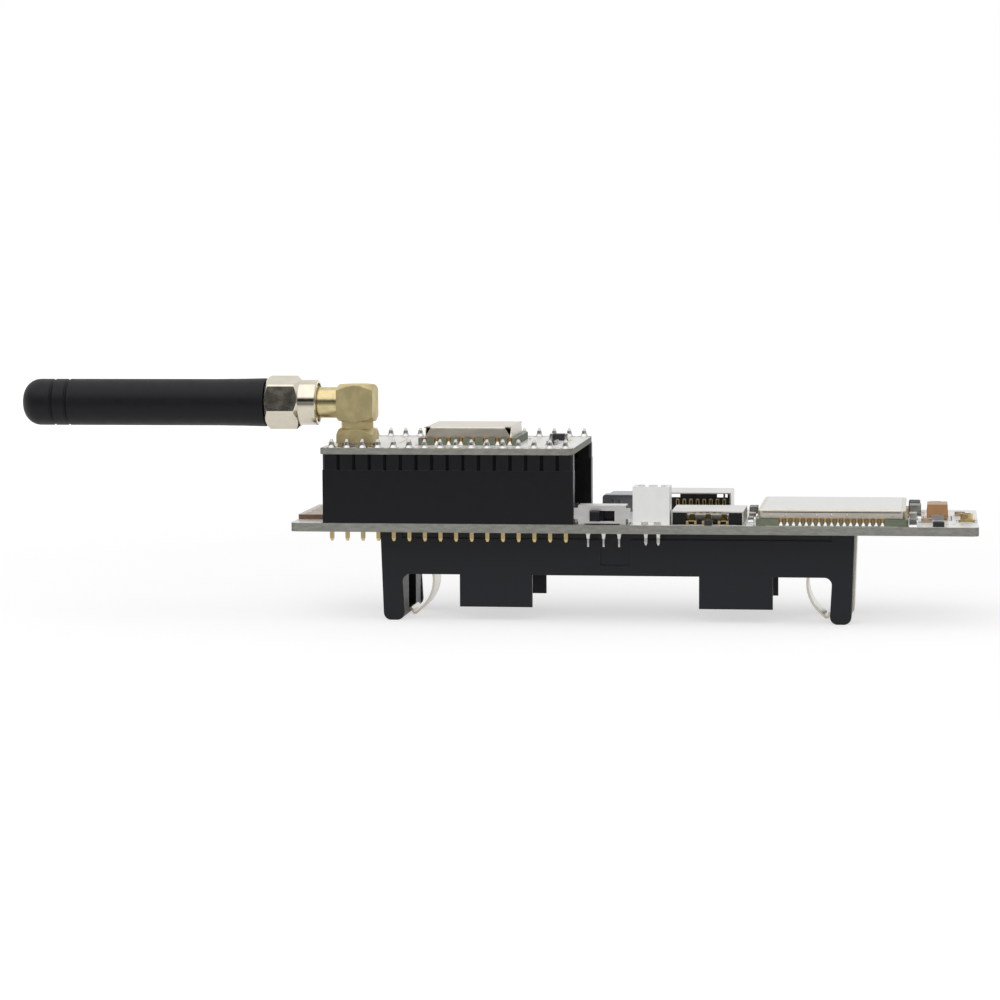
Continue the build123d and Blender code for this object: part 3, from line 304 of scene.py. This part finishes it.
# The nodes that keep their own shape; the others are drawn again below
LOOKS = {
    WHITE_BOARD: ["main_board", "shield_board"],
    GREEN_BOARD: ["cell_board"],
    DARK_BOARD: ["processor_board"],
    HEADER: ["header_socket_near", "header_socket_far", "pin_strip_near", "pin_strip_far",
             "switch_base", "switch_knob", "usb_tongue", "card_base", "sim_base"],
    HOLDER: ["battery_holder"],
    CHIP: ["radio_chip", "main_chips", "shield_chips", "processor_chip", "power_inductor"],
    WHITE_PLASTIC: ["plug_housing"],
    DIELECTRIC: ["jack_insulator", "antenna_insulator"],
    TANTALUM: ["tantalum_capacitor"],
    CERAMIC: ["ceramic_parts"],
    PAPER: ["cell_label"],
    GOLD_PLATE: ["antenna_ferrule"],
    GOLD_PIN: ["header_contacts_near", "header_contacts_far", "jack_contact", "antenna_pin",
               "antenna_coil", "card_contacts", "sim_contacts", "coax_socket"],
    NICKEL: ["antenna_nut", "antenna_ring"],
    SPRING: ["contact_spring_left", "contact_spring_right"],
    TINNED: ["header_pins_near", "header_pins_far", "switch_pins", "plug_pins", "capacitor_ends"],
    STEEL: ["switch_frame", "card_shell", "sim_shell"],
    # the receptacle's shell takes the darker steel, which is painted shade
    USB_STEEL_PAINTED_SHADE: ["usb_shell"],
    CAN: ["processor_can", "cell_frame", "cell_lid", "radio_crystal"],
}
for material, names in LOOKS.items():
    for name in names:
        nodes[name].data.materials.clear()
        nodes[name].data.materials.append(material)


# Shapes: a shape is a list of points in layout millimetres and a list of faces
def circle(radius, steps):
    """Points of a circle round the origin."""
    angles = [2 * math.pi * i / steps for i in range(steps)]
    return [(radius * math.cos(a), radius * math.sin(a)) for a in angles]


def box_outline(x0, x1, y0, y1):
    """The corners of a rectangle, anticlockwise."""
    return [(x0, y0), (x1, y0), (x1, y1), (x0, y1)]


def skin(shape, rows, wrap=True):
    """Stretch faces between rows that have the same number of points."""
    points, faces = shape
    first, count = len(points), len(rows[0])
    for row in rows:
        points.extend(row)
    for i in range(len(rows) - 1):
        here, above = first + i * count, first + (i + 1) * count
        for j in range(count if wrap else count - 1):
            k = (j + 1) % count
            faces.append((here + j, here + k, above + k, above + j))


def prism(shape, outline, z0, z1):
    """Raise a flat outline between two levels."""
    points, faces = shape
    first, count = len(points), len(outline)
    points.extend((x, y, z) for z in (z0, z1) for x, y in outline)
    faces.append([first + count + i for i in range(count)])
    faces.append([first + i for i in reversed(range(count))])
    for i in range(count):
        k = (i + 1) % count
        faces.append((first + i, first + k, first + count + k, first + count + i))


def spin_upright(shape, x, y, profile, steps=16):
    """Turn (radius, z) points about an upright axis."""
    skin(shape, [[(x + u, y + v, z) for u, v in circle(r, steps)] for r, z in profile])


def spin_lying(shape, profile, steps=96):
    """Turn (x, radius) points about the antenna's axis."""
    skin(shape, [[(x, AXIS_Y + u, AXIS_Z + v) for u, v in circle(r, steps)] for x, r in profile])


def finished(mesh, name, body, material, crease):
    """Shade a mesh, dress it and set it on its body."""
    mesh.polygons.foreach_set("use_smooth", [True] * len(mesh.polygons))
    mesh.set_sharp_from_angle(angle=math.radians(crease))
    mesh.materials.append(material)
    made = bpy.data.objects.new(name, mesh)
    bpy.context.scene.collection.objects.link(made)
    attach(made, body)
    return made


def make(name, body, material, shape, bevel=0.0, crease=40):
    """Turn a shape into a piece that rides on a body; bevel rounds its sharp edges."""
    mesh = bpy.data.meshes.new(name)
    mesh.from_pydata([place(*point) for point in shape[0]], [], shape[1])
    work = bmesh.new()
    work.from_mesh(mesh)
    bmesh.ops.remove_doubles(work, verts=work.verts, dist=1e-7)
    bmesh.ops.recalc_face_normals(work, faces=work.faces)
    if bevel:
        sharp = [e for e in work.edges if len(e.link_faces) == 2 and e.calc_face_angle() > 0.6]
        bmesh.ops.bevel(work, geom=sharp, offset=bevel * MM, segments=2, profile=0.5,
                        affect="EDGES", clamp_overlap=True)
    work.to_mesh(mesh)
    work.free()
    return finished(mesh, name, body, material, crease)


def sleeve():
    """Moulded sleeve: crowned tip, two fine moulded rings near it, and a flare at the nut."""
    tip, end = -45.45, -4.675
    radius, crown, crown_start = 3.8, 2.9, 0.08
    ferrule, anchor, hollow = 2.52, 2.72, 2.8
    profile = [(tip, 0), (tip + 0.02, 0.5)]
    for i in range(13):
        angle = math.radians(7.5 * i)
        profile.append((tip + crown_start + (crown - crown_start) * (1 - math.cos(angle)),
                        radius - crown * (1 - math.sin(angle))))
    for ring in (5.3, 7.7):
        for offset, depth in ((-0.3, 0), (-0.2, 0.12), (0, 0.22), (0.2, 0.12), (0.3, 0)):
            profile.append((tip + ring + offset, radius - depth))
    # the flare and its rounded lip
    profile += [(end - 8.0, radius), (end - 4.0, radius + 0.05), (end - 0.25, radius + 0.13),
                (end - 0.07, radius + 0.09), (end, radius - 0.08)]
    # the bore, moulded round the ferrule and its anchor, and the coil's hollow
    profile += [(end, ferrule), (end - 2, ferrule), (end - 2, anchor), (end - 7, anchor),
                (end - 7, hollow), (tip + 3.3, hollow), (tip + 3.3, 0)]
    shape = ([], [])
    spin_lying(shape, profile)
    made = make("sleeve_moulding", "antenna", RUBBER, shape, crease=50)
    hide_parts("antenna_sleeve")


def jack_thread():
    """The jack with its cut thread, 0.36 mm deep, which runs out in a bevel at each end."""
    start, end, pitch = -1.823, 3.775, 0.7056
    crest, root = 3.12, 2.76
    mouth, neck, neck_slope = 2.72, 2.53, 1.475
    jack = bmesh.new()
    jack.from_mesh(nodes["jack_body"].data)
    # the solid's plain barrel: what lies outside its bore between mouth and neck
    plain = []
    for face in jack.faces:
        spots = [(corner.co - BOARD_LOW) / MM for corner in face.verts]
        reach = [math.hypot(spot.y - AXIS_Y, spot.z - AXIS_Z) for spot in spots]
        along = [spot.x for spot in spots]
        if min(reach) > 2.5 and start + 0.01 < max(along) < end + 0.01:
            plain.append(face)
    bmesh.ops.delete(jack, geom=plain, context="FACES")
    steps, slices = 64, 72
    rows = []
    for i in range(slices + 1):
        x = start + (end - start) * i / slices
        limit = min(crest, mouth + x - start, neck + (end - x) * neck_slope)
        row = []
        for k, (u, v) in enumerate(circle(1.0, steps)):
            # a V that climbs once per turn, with flats at root and crest
            phase = (x / pitch + k / steps) % 1
            flank = min(1.0, max(0.0, 1.3 * abs(2 * phase - 1) - 0.15))
            r = min(limit, root + (crest - root) * flank)
            row.append((x, AXIS_Y + r * u, AXIS_Z + r * v))
        rows.append(row)
    thread = ([], [])
    skin(thread, rows)
    corners = [jack.verts.new(place(*point)) for point in thread[0]]
    for loop in thread[1]:
        jack.faces.new([corners[i] for i in loop])
    mesh = bpy.data.meshes.new("jack_with_thread")
    jack.to_mesh(mesh)
    jack.free()
    made = finished(mesh, "jack_with_thread", "boards", JACK, 25)
    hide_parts("jack_body")


def wetted(level, height, radius, top):
    """Profile of solder drawn along a pin: wide on the pad, hollow, thin at its far end."""
    rise = [i / 7 for i in range(8)]
    return [(top + (radius - top) * (1 - t) ** 2.3, level + height * t) for t in rise]


def solder_joints():
    """Solder at the pins on the shield and at the leads under the main board."""
    shield = ([], [])
    for row, y in enumerate(ROW_YS):
        for i, x in enumerate(PIN_XS):
            wobble = 1 + 0.05 * math.sin(5 * i + 2 * row)
            profile = wetted(SHIELD_TOP, 0.85 * wobble, 0.72 * wobble, 0.44)
            profile.append((0.2, profile[-1][1]))
            spin_upright(shield, x, y, profile)
    made = make("shield_solder_joints", "boards", SOLDER, shield, crease=60)
    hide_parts("shield_solder")
    under = ([], [])
    for leads, height, radius, top in ((SWITCH_LEADS, -1.05, 0.73, 0.33),
                                       (PLUG_LEADS, -0.85, 0.68, 0.35)):
        for x, y in leads:
            spin_upright(under, x, y, wetted(0, height, radius, top) + [(0.1, height)])
    made = make("board_solder_joints", "boards", SOLDER, under, crease=60)
    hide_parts("board_solder")


def pad_rings():
    """Gold-plated rings round the pin holes, on both faces of both boards, and round the leads."""
    rings, thick = ([], []), 0.02
    faces = [(0.0, -thick), (BOARD_TOP, thick), (STRIP_TOP, -thick), (SHIELD_TOP, thick)]
    for level, step in faces:
        for y in ROW_YS:
            for x in PIN_XS:
                spin_upright(rings, x, y, [(0.56, level), (0.56, level + step),
                                           (0.93, level + step), (0.93, level)], 20)
    for x, y in SWITCH_LEADS + PLUG_LEADS:
        spin_upright(rings, x, y, [(0.5, 0), (0.5, -thick), (0.9, -thick), (0.9, 0)], 20)
    make("pad_rings", "boards", PAD, rings)


def edge_contacts(name, centre, half, count, pitch, radius, base, thick, four_sides=False):
    """Plated half holes in a module's edges, with their pads on top and solder at their feet.

    The plating lines each notch of the board's edge; the solder climbs its lower half.
    """
    plating, solder = ([], []), ([], [])
    top = base + thick
    # for each side, the direction along it and the direction outward
    sides = [((1, 0), (0, -1)), ((1, 0), (0, 1))]
    if four_sides:
        sides += [((0, 1), (-1, 0)), ((0, 1), (1, 0))]
    arc = [math.radians(90 - 22.5 * i) for i in range(9)]
    lined = radius * 0.9
    wide, deep = radius + 0.14, radius + 0.75
    bend = [(lined * math.sin(a), -lined * math.cos(a)) for a in arc]
    rim = [(wide * math.sin(a), -wide * math.cos(a)) for a in arc]
    far = [(wide * math.sin(a), -deep if abs(math.sin(a)) < 0.95 else 0.0) for a in arc]
    for (ax, ay), (ox, oy) in sides:
        for i in range(count):
            shift = pitch * (i - (count - 1) / 2)
            cx = centre[0] + ax * shift + ox * half
            cy = centre[1] + ay * shift + oy * half

            def spot(across, out, z):
                return (cx + ax * across + ox * out, cy + ay * across + oy * out, z)

            skin(plating, [[spot(u, v, z) for u, v in bend] for z in (base, top + 0.02)],
                 wrap=False)
            for level in (top + 0.02, top + 0.001):
                skin(plating, [[spot(u, v - 0.001, level) for u, v in row]
                               for row in (bend, rim, far)], wrap=False)
            rows = []
            for step in range(6):
                t = step / 5
                rows.append([spot(lined * math.sin(a) * (1 + 0.25 * t * t),
                                  -lined * math.cos(a) * (1 - t) + 0.22 * math.cos(a) * t ** 1.5,
                                  base + 0.012 + thick * 0.5 * (1 - t) ** 1.7) for a in arc])
            skin(solder, rows, wrap=False)
    make(name + "_plating", "boards", PAD, plating)
    make(name + "_solder", "boards", SOLDER, solder, crease=60)


def end_caps():
    """Tinned end terminals of the two-ended parts, with a little solder at each foot."""
    caps, feet = ([], []), ([], [])
    proud, cap_length, run = 0.03, 0.45, 0.3
    parts = [(BOARD_TOP, part) for part in MAIN_PARTS]
    parts += [(SHIELD_TOP, part) for part in SHIELD_PARTS]
    for base, (x, y, length, width, height) in parts:
        along_x = length > width
        half, cross = (length / 2, width / 2) if along_x else (width / 2, length / 2)
        for side in (-1, 1):
            a, b = sorted((side * (half + proud), side * (half - cap_length * min(1, half))))
            if along_x:
                outline = box_outline(x + a, x + b, y - cross - proud, y + cross + proud)
            else:
                outline = box_outline(x - cross - proud, x + cross + proud, y + a, y + b)
            prism(caps, outline, base + 0.01, base + height + proud)
            rows = []
            for step in range(5):
                t = step / 4
                out = side * (half + proud + run * t ** 1.5)
                up = base + 0.012 + 0.55 * height * (1 - t) ** 1.7
                across = [share * cross * (1 + 0.15 * t) for share in (-1, -0.5, 0, 0.5, 1)]
                rows.append([(x + out, y + v, up) if along_x else (x + v, y + out, up)
                             for v in across])
            skin(feet, rows, wrap=False)
    make("end_terminals", "boards", TINNED, caps, bevel=0.06)
    make("end_terminal_solder", "boards", SOLDER, feet, crease=60)


def ink_frame(shape, x0, x1, y0, y1, z, gap=0.0, width=0.18):
    """Four printed lines round a part; a gap is how much of each line its ends keep."""
    lines = [(x0, x1, y0, y0 + width), (x0, x1, y1 - width, y1),
             (x0, x0 + width, y0, y1), (x1 - width, x1, y0, y1)]
    for a, b, c, d in lines:
        if not gap:
            pieces = [(a, b, c, d)]
        elif b - a > d - c:
            pieces = [(a, a + gap, c, d), (b - gap, b, c, d)]
        else:
            pieces = [(a, b, c, c + gap), (a, b, d - gap, d)]
        for piece in pieces:
            prism(shape, box_outline(*piece), z, z + 0.015)


def printed_outlines():
    """Printed part outlines and pin-one dots on the two white boards; no letters."""
    ink = ([], [])
    # x0, x1, y0, y1, level and, where only the corners are printed, how much of each line stays
    frames = [
        (74.7, 99.5, 0.25, 25.05, BOARD_TOP, 2.0),    # cellular module
        (46.3, 55.0, 0.2, 4.4, BOARD_TOP),            # slide switch
        (61.2, 73.5, 1.2, 13.5, BOARD_TOP, 1.5),      # SIM slot
        (101.4, 106.1, 11.6, 19.2, BOARD_TOP),        # tantalum capacitor
        (106.7, 110.0, 9.0, 12.4, BOARD_TOP, 0.7),    # coax socket
        (19.4, 36.4, 6.75, 23.75, SHIELD_TOP, 1.6),   # radio module
        (6.9, 13.5, 2.3, 8.6, SHIELD_TOP, 1.0),       # jack
    ]
    for sides_and_level in frames:
        ink_frame(ink, *sides_and_level)
    # thinner frames round the header rows; the far one stops at the main board's edge
    for y in ROW_YS:
        ink_frame(ink, 5.2, 45.85, y - 1.22, y + 1.22, SHIELD_TOP, width=0.12)
        ink_frame(ink, 5.2, 46.2, y - 1.24, min(y + 1.26, 30.45), BOARD_TOP, width=0.12)
    for x, y, z in ((74.3, 25.6, BOARD_TOP), (18.9, 24.2, SHIELD_TOP), (101.0, 19.6, BOARD_TOP)):
        spin_upright(ink, x, y, [(0, z + 0.015), (0.3, z + 0.015), (0.3, z)], 16)
    make("printed_outlines", "boards", INK_AND_PAINTED_SHADE, ink)


def board_vias():
    """Small plated vias, in short runs as tracks leave them; a dark disc in each paints the shade
    inside it.
    """
    vias, holes = ([], []), ([], [])
    # x, y, step in x, step in y, count and level of each run
    runs = [
        (52, 10, 0, 1.6, 5, BOARD_TOP), (56, 7, 1.3, 0, 4, BOARD_TOP),
        (76, 27, 1.5, 0, 9, BOARD_TOP), (101.5, 22, 0, 1.4, 4, BOARD_TOP),
        (104, 5, 1.2, 0, 4, BOARD_TOP), (48, 20, 0, 1.4, 3, BOARD_TOP),
        (73.9, 21.5, 0, 1.3, 4, BOARD_TOP), (38.4, 5, 0, 1.5, 4, SHIELD_TOP),
        (16, 12, 0, 1.6, 6, SHIELD_TOP), (14.5, 25.5, 1.6, 0, 8, SHIELD_TOP),
        (43.5, 7, 0, 1.7, 9, SHIELD_TOP), (19, 4, 1.8, 0, 9, SHIELD_TOP),
        (2.4, 3, 0, 1.9, 2, BOARD_TOP),
    ]
    for x, y, dx, dy, count, z in runs:
        ring = [(0.13, z), (0.14, z + 0.02), (0.28, z + 0.02), (0.31, z)]
        # a dark disc of painted shade inside each via
        hole = [(0, z + 0.006), (0.13, z + 0.006), (0.13, z)]
        for i in range(count):
            spin_upright(vias, x + dx * i, y + dy * i, ring, 14)
            spin_upright(holes, x + dx * i, y + dy * i, hole, 14)
    make("via_rings", "boards", PAD, vias)
    make("via_hole_painted_shade", "boards", INK_AND_PAINTED_SHADE, holes)


def aerial_track():
    """The processor module's own printed aerial: a meander of plated copper at its free end."""
    track = ([], [])
    left, right, width = 1.0, 5.4, 0.45
    level = BOARD_TOP + PROCESSOR_THICK
    top = level + 0.02
    ys = [7.4 + 1.9 * i for i in range(9)]
    for i, y in enumerate(ys):
        prism(track, box_outline(left, right, y, y + width), level, top)
        if i + 1 < len(ys):
            x = left if i % 2 else right - width
            prism(track, box_outline(x, x + width, y + width, ys[i + 1]), level, top)
    # the feed, which runs on to the module's can
    prism(track, box_outline(right, 6.6, ys[0], ys[0] + width), level, top)
    make("aerial_track", "boards", PAD, track)


def usb_contacts():
    """Twelve gold contacts on each face of the receptacle's tongue."""
    bars = ([], [])
    for i in range(12):
        x = USB_X + 0.5 * (i - 5.5)
        for low, high in ((USB_Z + 0.35, USB_Z + 0.38), (USB_Z - 0.38, USB_Z - 0.35)):
            prism(bars, box_outline(x - 0.13, x + 0.13, 25.2, 29.4), low, high)
    make("usb_contact_bars", "boards", GOLD_PIN, bars)


def radio_module():
    """The radio module: a notched board, and a can folded from a flat blank.

    Each wall of the can narrows upwards, so a three-cornered gap is left at every top corner.
    """
    x, y, half = RADIO_X, RADIO_Y, RADIO_HALF
    base = SHIELD_TOP + RADIO_THICK
    board = ([], [])
    notch = [math.radians(180 - 22.5 * i) for i in range(9)]
    dents = [(RADIO_NOTCH * math.cos(a), RADIO_NOTCH * math.sin(a)) for a in notch]
    near, far = [], []
    for i in range(RADIO_PADS):
        shift = RADIO_PITCH * (i - (RADIO_PADS - 1) / 2)
        near += [(x + shift + u, y - half + v) for u, v in dents]
        far += [(x - shift - u, y + half - v) for u, v in dents]
    outline = [(x - half, y - half)] + near + [(x + half, y - half), (x + half, y + half)] + far
    outline.append((x - half, y + half))
    prism(board, outline, SHIELD_TOP, base)
    made = make("radio_module_board", "boards", GREEN_BOARD, board)
    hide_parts("radio_board")
    can = ([], [])
    reach, sheet, top = 7.15, 0.2, SHIELD_TOP + RADIO_HEIGHT
    fold = 0.3
    # the bends at the top stop 1 mm short of the corners, where the blank was cut away
    for ax, ay in SIDES:
        bend = []
        for inset, level in ((0.0, base), (0.0, top - 0.42), (0.03, top - 0.24),
                             (0.12, top - 0.08), (fold, top)):
            share = min(1.0, (level - base) / (top - base - fold))
            wide = reach - 0.02 - 1.0 * max(0.0, share - 0.12) / 0.88
            if inset == fold:
                wide = reach - 1.0
            out = reach - inset
            bend.append([(x + ax * out - ay * u, y + ay * out + ax * u, level)
                         for u in (-wide, wide)])
        inner = [[(px - ax * sheet, py - ay * sheet, pz - (sheet if i > 2 else 0))
                  for px, py, pz in row] for i, row in enumerate(bend)]
        skin(can, bend + inner[::-1], wrap=False)
        for end in (0, 1):
            skin(can, [[row[end] for row in bend], [row[end] for row in inner]], wrap=False)
    flat = reach - fold
    prism(can, box_outline(x - flat, x + flat, y - flat, y + flat), top - sheet, top)
    # small sunk squares close the corners between the bends
    for i in (-1, 1):
        for j in (-1, 1):
            a, b = sorted((x + i * flat, x + i * (reach - 0.04)))
            c, d = sorted((y + j * flat, y + j * (reach - 0.04)))
            prism(can, box_outline(a, b, c, d), top - sheet - 0.06, top - 0.06)
    made = make("radio_module_can", "boards", CAN, can, crease=30)
    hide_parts("radio_can")


def lid_details():
    """Spring dimples along each wall of the cellular module's can, and a thin dark strip of painted
    shade in the gap over them.
    """
    dimples = ([], [])
    wall, level = 11.5, 3.1
    for i in range(9):
        shift = 2.4 * (i - 4)
        for ox, oy in SIDES:
            x = CELL_X + ox * wall + abs(oy) * shift
            y = CELL_Y + oy * wall + abs(ox) * shift
            rows = []
            for ring in range(4):
                t = ring / 3 * math.pi / 2
                out = 0.1 * math.sin(t)
                rows.append([(x + abs(oy) * u + ox * out, y + abs(ox) * u + oy * out, level + v)
                             for u, v in circle(0.22 * math.cos(t), 10)])
            skin(dimples, rows)
    make("can_wall_dimples", "boards", CAN, dimples, crease=60)
    # a thin dark strip round the can under its lid: painted shade in the gap
    gap_shade = ([], [])
    rim, corner, thick = 11.53, 0.6, 0.04
    x0, x1, y0, y1 = CELL_X - rim, CELL_X + rim, CELL_Y - rim, CELL_Y + rim
    for line in ((x0 + corner, x1 - corner, y0, y0 + thick),
                 (x0 + corner, x1 - corner, y1 - thick, y1),
                 (x0, x0 + thick, y0 + corner, y1 - corner),
                 (x1 - thick, x1, y0 + corner, y1 - corner)):
        prism(gap_shade, box_outline(*line), 3.5, 3.645)
    make("lid_gap_painted_shade", "boards", INK_AND_PAINTED_SHADE, gap_shade)


def usb_back_plate():
    """Folded cover that closes the receptacle's rear, with four pressed ribs."""
    plate = ([], [])
    seat, face = 23.75, 23.64
    half, tall, corner = 4.2, 1.33, 0.4
    ring = []
    for cx, cz, start in ((1, -1, -90), (1, 1, 0), (-1, 1, 90), (-1, -1, 180)):
        for step in range(5):
            a = math.radians(start + 22.5 * step)
            ring.append((USB_X + cx * (half - corner) + corner * math.cos(a),
                         USB_Z + cz * (tall - corner) + corner * math.sin(a)))
    inner = [(USB_X + (u - USB_X) * 0.95, USB_Z + (v - USB_Z) * 0.84) for u, v in ring]
    skin(plate, [[(u, seat, v) for u, v in ring], [(u, face + 0.02, v) for u, v in ring],
                 [(u, face, v) for u, v in inner], [(USB_X, face, USB_Z)] * len(ring)])
    for x in (USB_X - 1.5, USB_X - 2.6, USB_X + 1.5, USB_X + 2.6):
        skin(plate, [[(x - 0.3, face, USB_Z + end * 0.8), (x, face - 0.12, USB_Z + end * 0.75),
                      (x + 0.3, face, USB_Z + end * 0.8)] for end in (-1, 1)], wrap=False)
    # the plate's steel is painted darker, as painted shade
    make("usb_back_plate", "boards", USB_STEEL_PAINTED_SHADE, plate, crease=25)


sleeve()
jack_thread()
solder_joints()
pad_rings()
edge_contacts("cell_module", (CELL_X, CELL_Y), CELL_HALF, 17, 1.0, 0.3, BOARD_TOP, CELL_THICK,
              four_sides=True)
edge_contacts("radio_module", (RADIO_X, RADIO_Y), RADIO_HALF, RADIO_PADS, RADIO_PITCH,
              RADIO_NOTCH, SHIELD_TOP, RADIO_THICK)
edge_contacts("processor_module", (PROCESSOR_X, PROCESSOR_Y), PROCESSOR_HALF, 14, 1.27, 0.25,
              BOARD_TOP, PROCESSOR_THICK)
end_caps()
printed_outlines()
board_vias()
aerial_track()
usb_contacts()
radio_module()
lid_details()
usb_back_plate()


# Floor and light
def stage_material(name):
    """White seen by the camera and in reflections, and a plain pale floor for light and shadow."""
    material = bpy.data.materials.new(name)
    material.use_nodes = True
    tree = material.node_tree
    shader = tree.nodes["Principled BSDF"]
    shader.inputs["Roughness"].default_value = 1.0
    shader.inputs["Specular IOR Level"].default_value = 0.0
    shader.inputs["Emission Color"].default_value = (1, 1, 1, 1)
    path = add(tree, "LightPath")
    glossy = path.outputs["Is Glossy Ray"]
    seen = maths(tree, "MAXIMUM", path.outputs["Is Camera Ray"], glossy)
    seen = maths(tree, "MAXIMUM", seen, path.outputs["Is Transmission Ray"])
    # the lamps fade away from the object, so the floor's own white rises there; in metres
    where = add(tree, "TexCoord").outputs["Object"]
    far = add(tree, "VectorMath", {0: where}, operation="LENGTH").outputs["Value"]
    lift = maths(tree, "MULTIPLY", seen, band(tree, far, 0.12, 0.6, 0.6, 0.85))
    # in reflections the table ends in front of the part, where the room is dark
    front = add(tree, "SeparateXYZ", {0: where}).outputs["Y"]
    gone = maths(tree, "MULTIPLY", glossy, band(tree, front, -0.09, -0.25, 0.0, 0.8))
    lift = maths(tree, "MULTIPLY", lift, maths(tree, "SUBTRACT", 1.0, gone))
    tone = mix_colour(tree, gone, linear("BCBCBC"), linear("202022"))
    tree.links.new(tone, shader.inputs["Base Color"])
    tree.links.new(lift, shader.inputs["Emission Strength"])
    return material


def floor(reach=30.0):
    """A flat floor, so wide that its edge is out of sight; reach is in metres."""
    mesh = bpy.data.meshes.new("floor")
    corners = [(x, y, 0) for x, y in box_outline(-reach, reach, -reach, reach)]
    mesh.from_pydata(corners, [], [(0, 1, 2, 3)])
    made = bpy.data.objects.new("floor", mesh)
    mesh.materials.append(stage_material("floor_paper"))
    bpy.context.scene.collection.objects.link(made)


def world():
    """A white studio whose near side is dark, which the bright metal shows as a dark band."""
    made = bpy.data.worlds.new("studio")
    bpy.context.scene.world = made
    made.use_nodes = True
    tree = made.node_tree
    tree.nodes.clear()
    out = add(tree, "OutputWorld")
    path = add(tree, "LightPath")
    glossy = path.outputs["Is Glossy Ray"]
    parts = add(tree, "SeparateXYZ", {0: add(tree, "TexCoord").outputs["Generated"]})
    # on the near side only the ceiling is bright, with a grey strip at the horizon
    height = maths(tree, "ABSOLUTE", parts.outputs["Z"])
    near = maths(tree, "MAXIMUM", band(tree, height, 0.42, 0.50),
                 band(tree, height, 0.06, 0.14, 0.35, 0.0))
    back = band(tree, parts.outputs["Y"], -0.25, 0.15)
    room = band(tree, maths(tree, "MAXIMUM", near, back), 0.0, 1.0, 0.03, 1.0)
    # what lights the part is an even half white; the camera sees plain white
    even = maths(tree, "MULTIPLY", maths(tree, "SUBTRACT", 1.0, glossy), 0.5)
    lit = maths(tree, "ADD", maths(tree, "MULTIPLY", room, glossy), even)
    clear = maths(tree, "MAXIMUM", path.outputs["Is Camera Ray"],
                  path.outputs["Is Transmission Ray"])
    strength = maths(tree, "MAXIMUM", lit, clear)
    shade = add(tree, "Background", {"Color": (1, 1, 1, 1), "Strength": strength})
    tree.links.new(shade.outputs[0], out.inputs["Surface"])


def lamp(name, spot, size, power, mirrored=True):
    """A square area lamp that faces the middle of the part; bright metal may mirror it or not."""
    data = bpy.data.lights.new(name, "AREA")
    data.size = size
    data.energy = power
    made = bpy.data.objects.new(name, data)
    made.location = spot
    made.visible_glossy = mirrored
    aim = Vector((0, 0, 0.02)) - Vector(spot)
    made.rotation_euler = aim.to_track_quat("-Z", "Y").to_euler()
    bpy.context.scene.collection.objects.link(made)


def camera():
    """The photo's camera, fitted to the header pins, the boards' edges and the holder."""
    data = bpy.data.cameras.new("camera")
    data.sensor_width = 36
    data.lens = 114.1
    data.clip_end = 100
    made = bpy.data.objects.new("camera", data)
    made.location = place(101.385, -501.386, 50.4)
    made.rotation_euler = [math.radians(angle) for angle in (84.907, 0.314, 7.599)]
    bpy.context.scene.collection.objects.link(made)
    bpy.context.scene.camera = made


floor()
world()
lamp("key", (-0.25, -0.35, 0.75), 1.2, 2.7)
lamp("fill", (0.6, -0.6, 0.5), 1.2, 1.3)
lamp("front", (0.05, -0.85, 0.3), 0.7, 1.8, mirrored=False)
camera()
bpy.context.scene.view_settings.view_transform = "Standard"
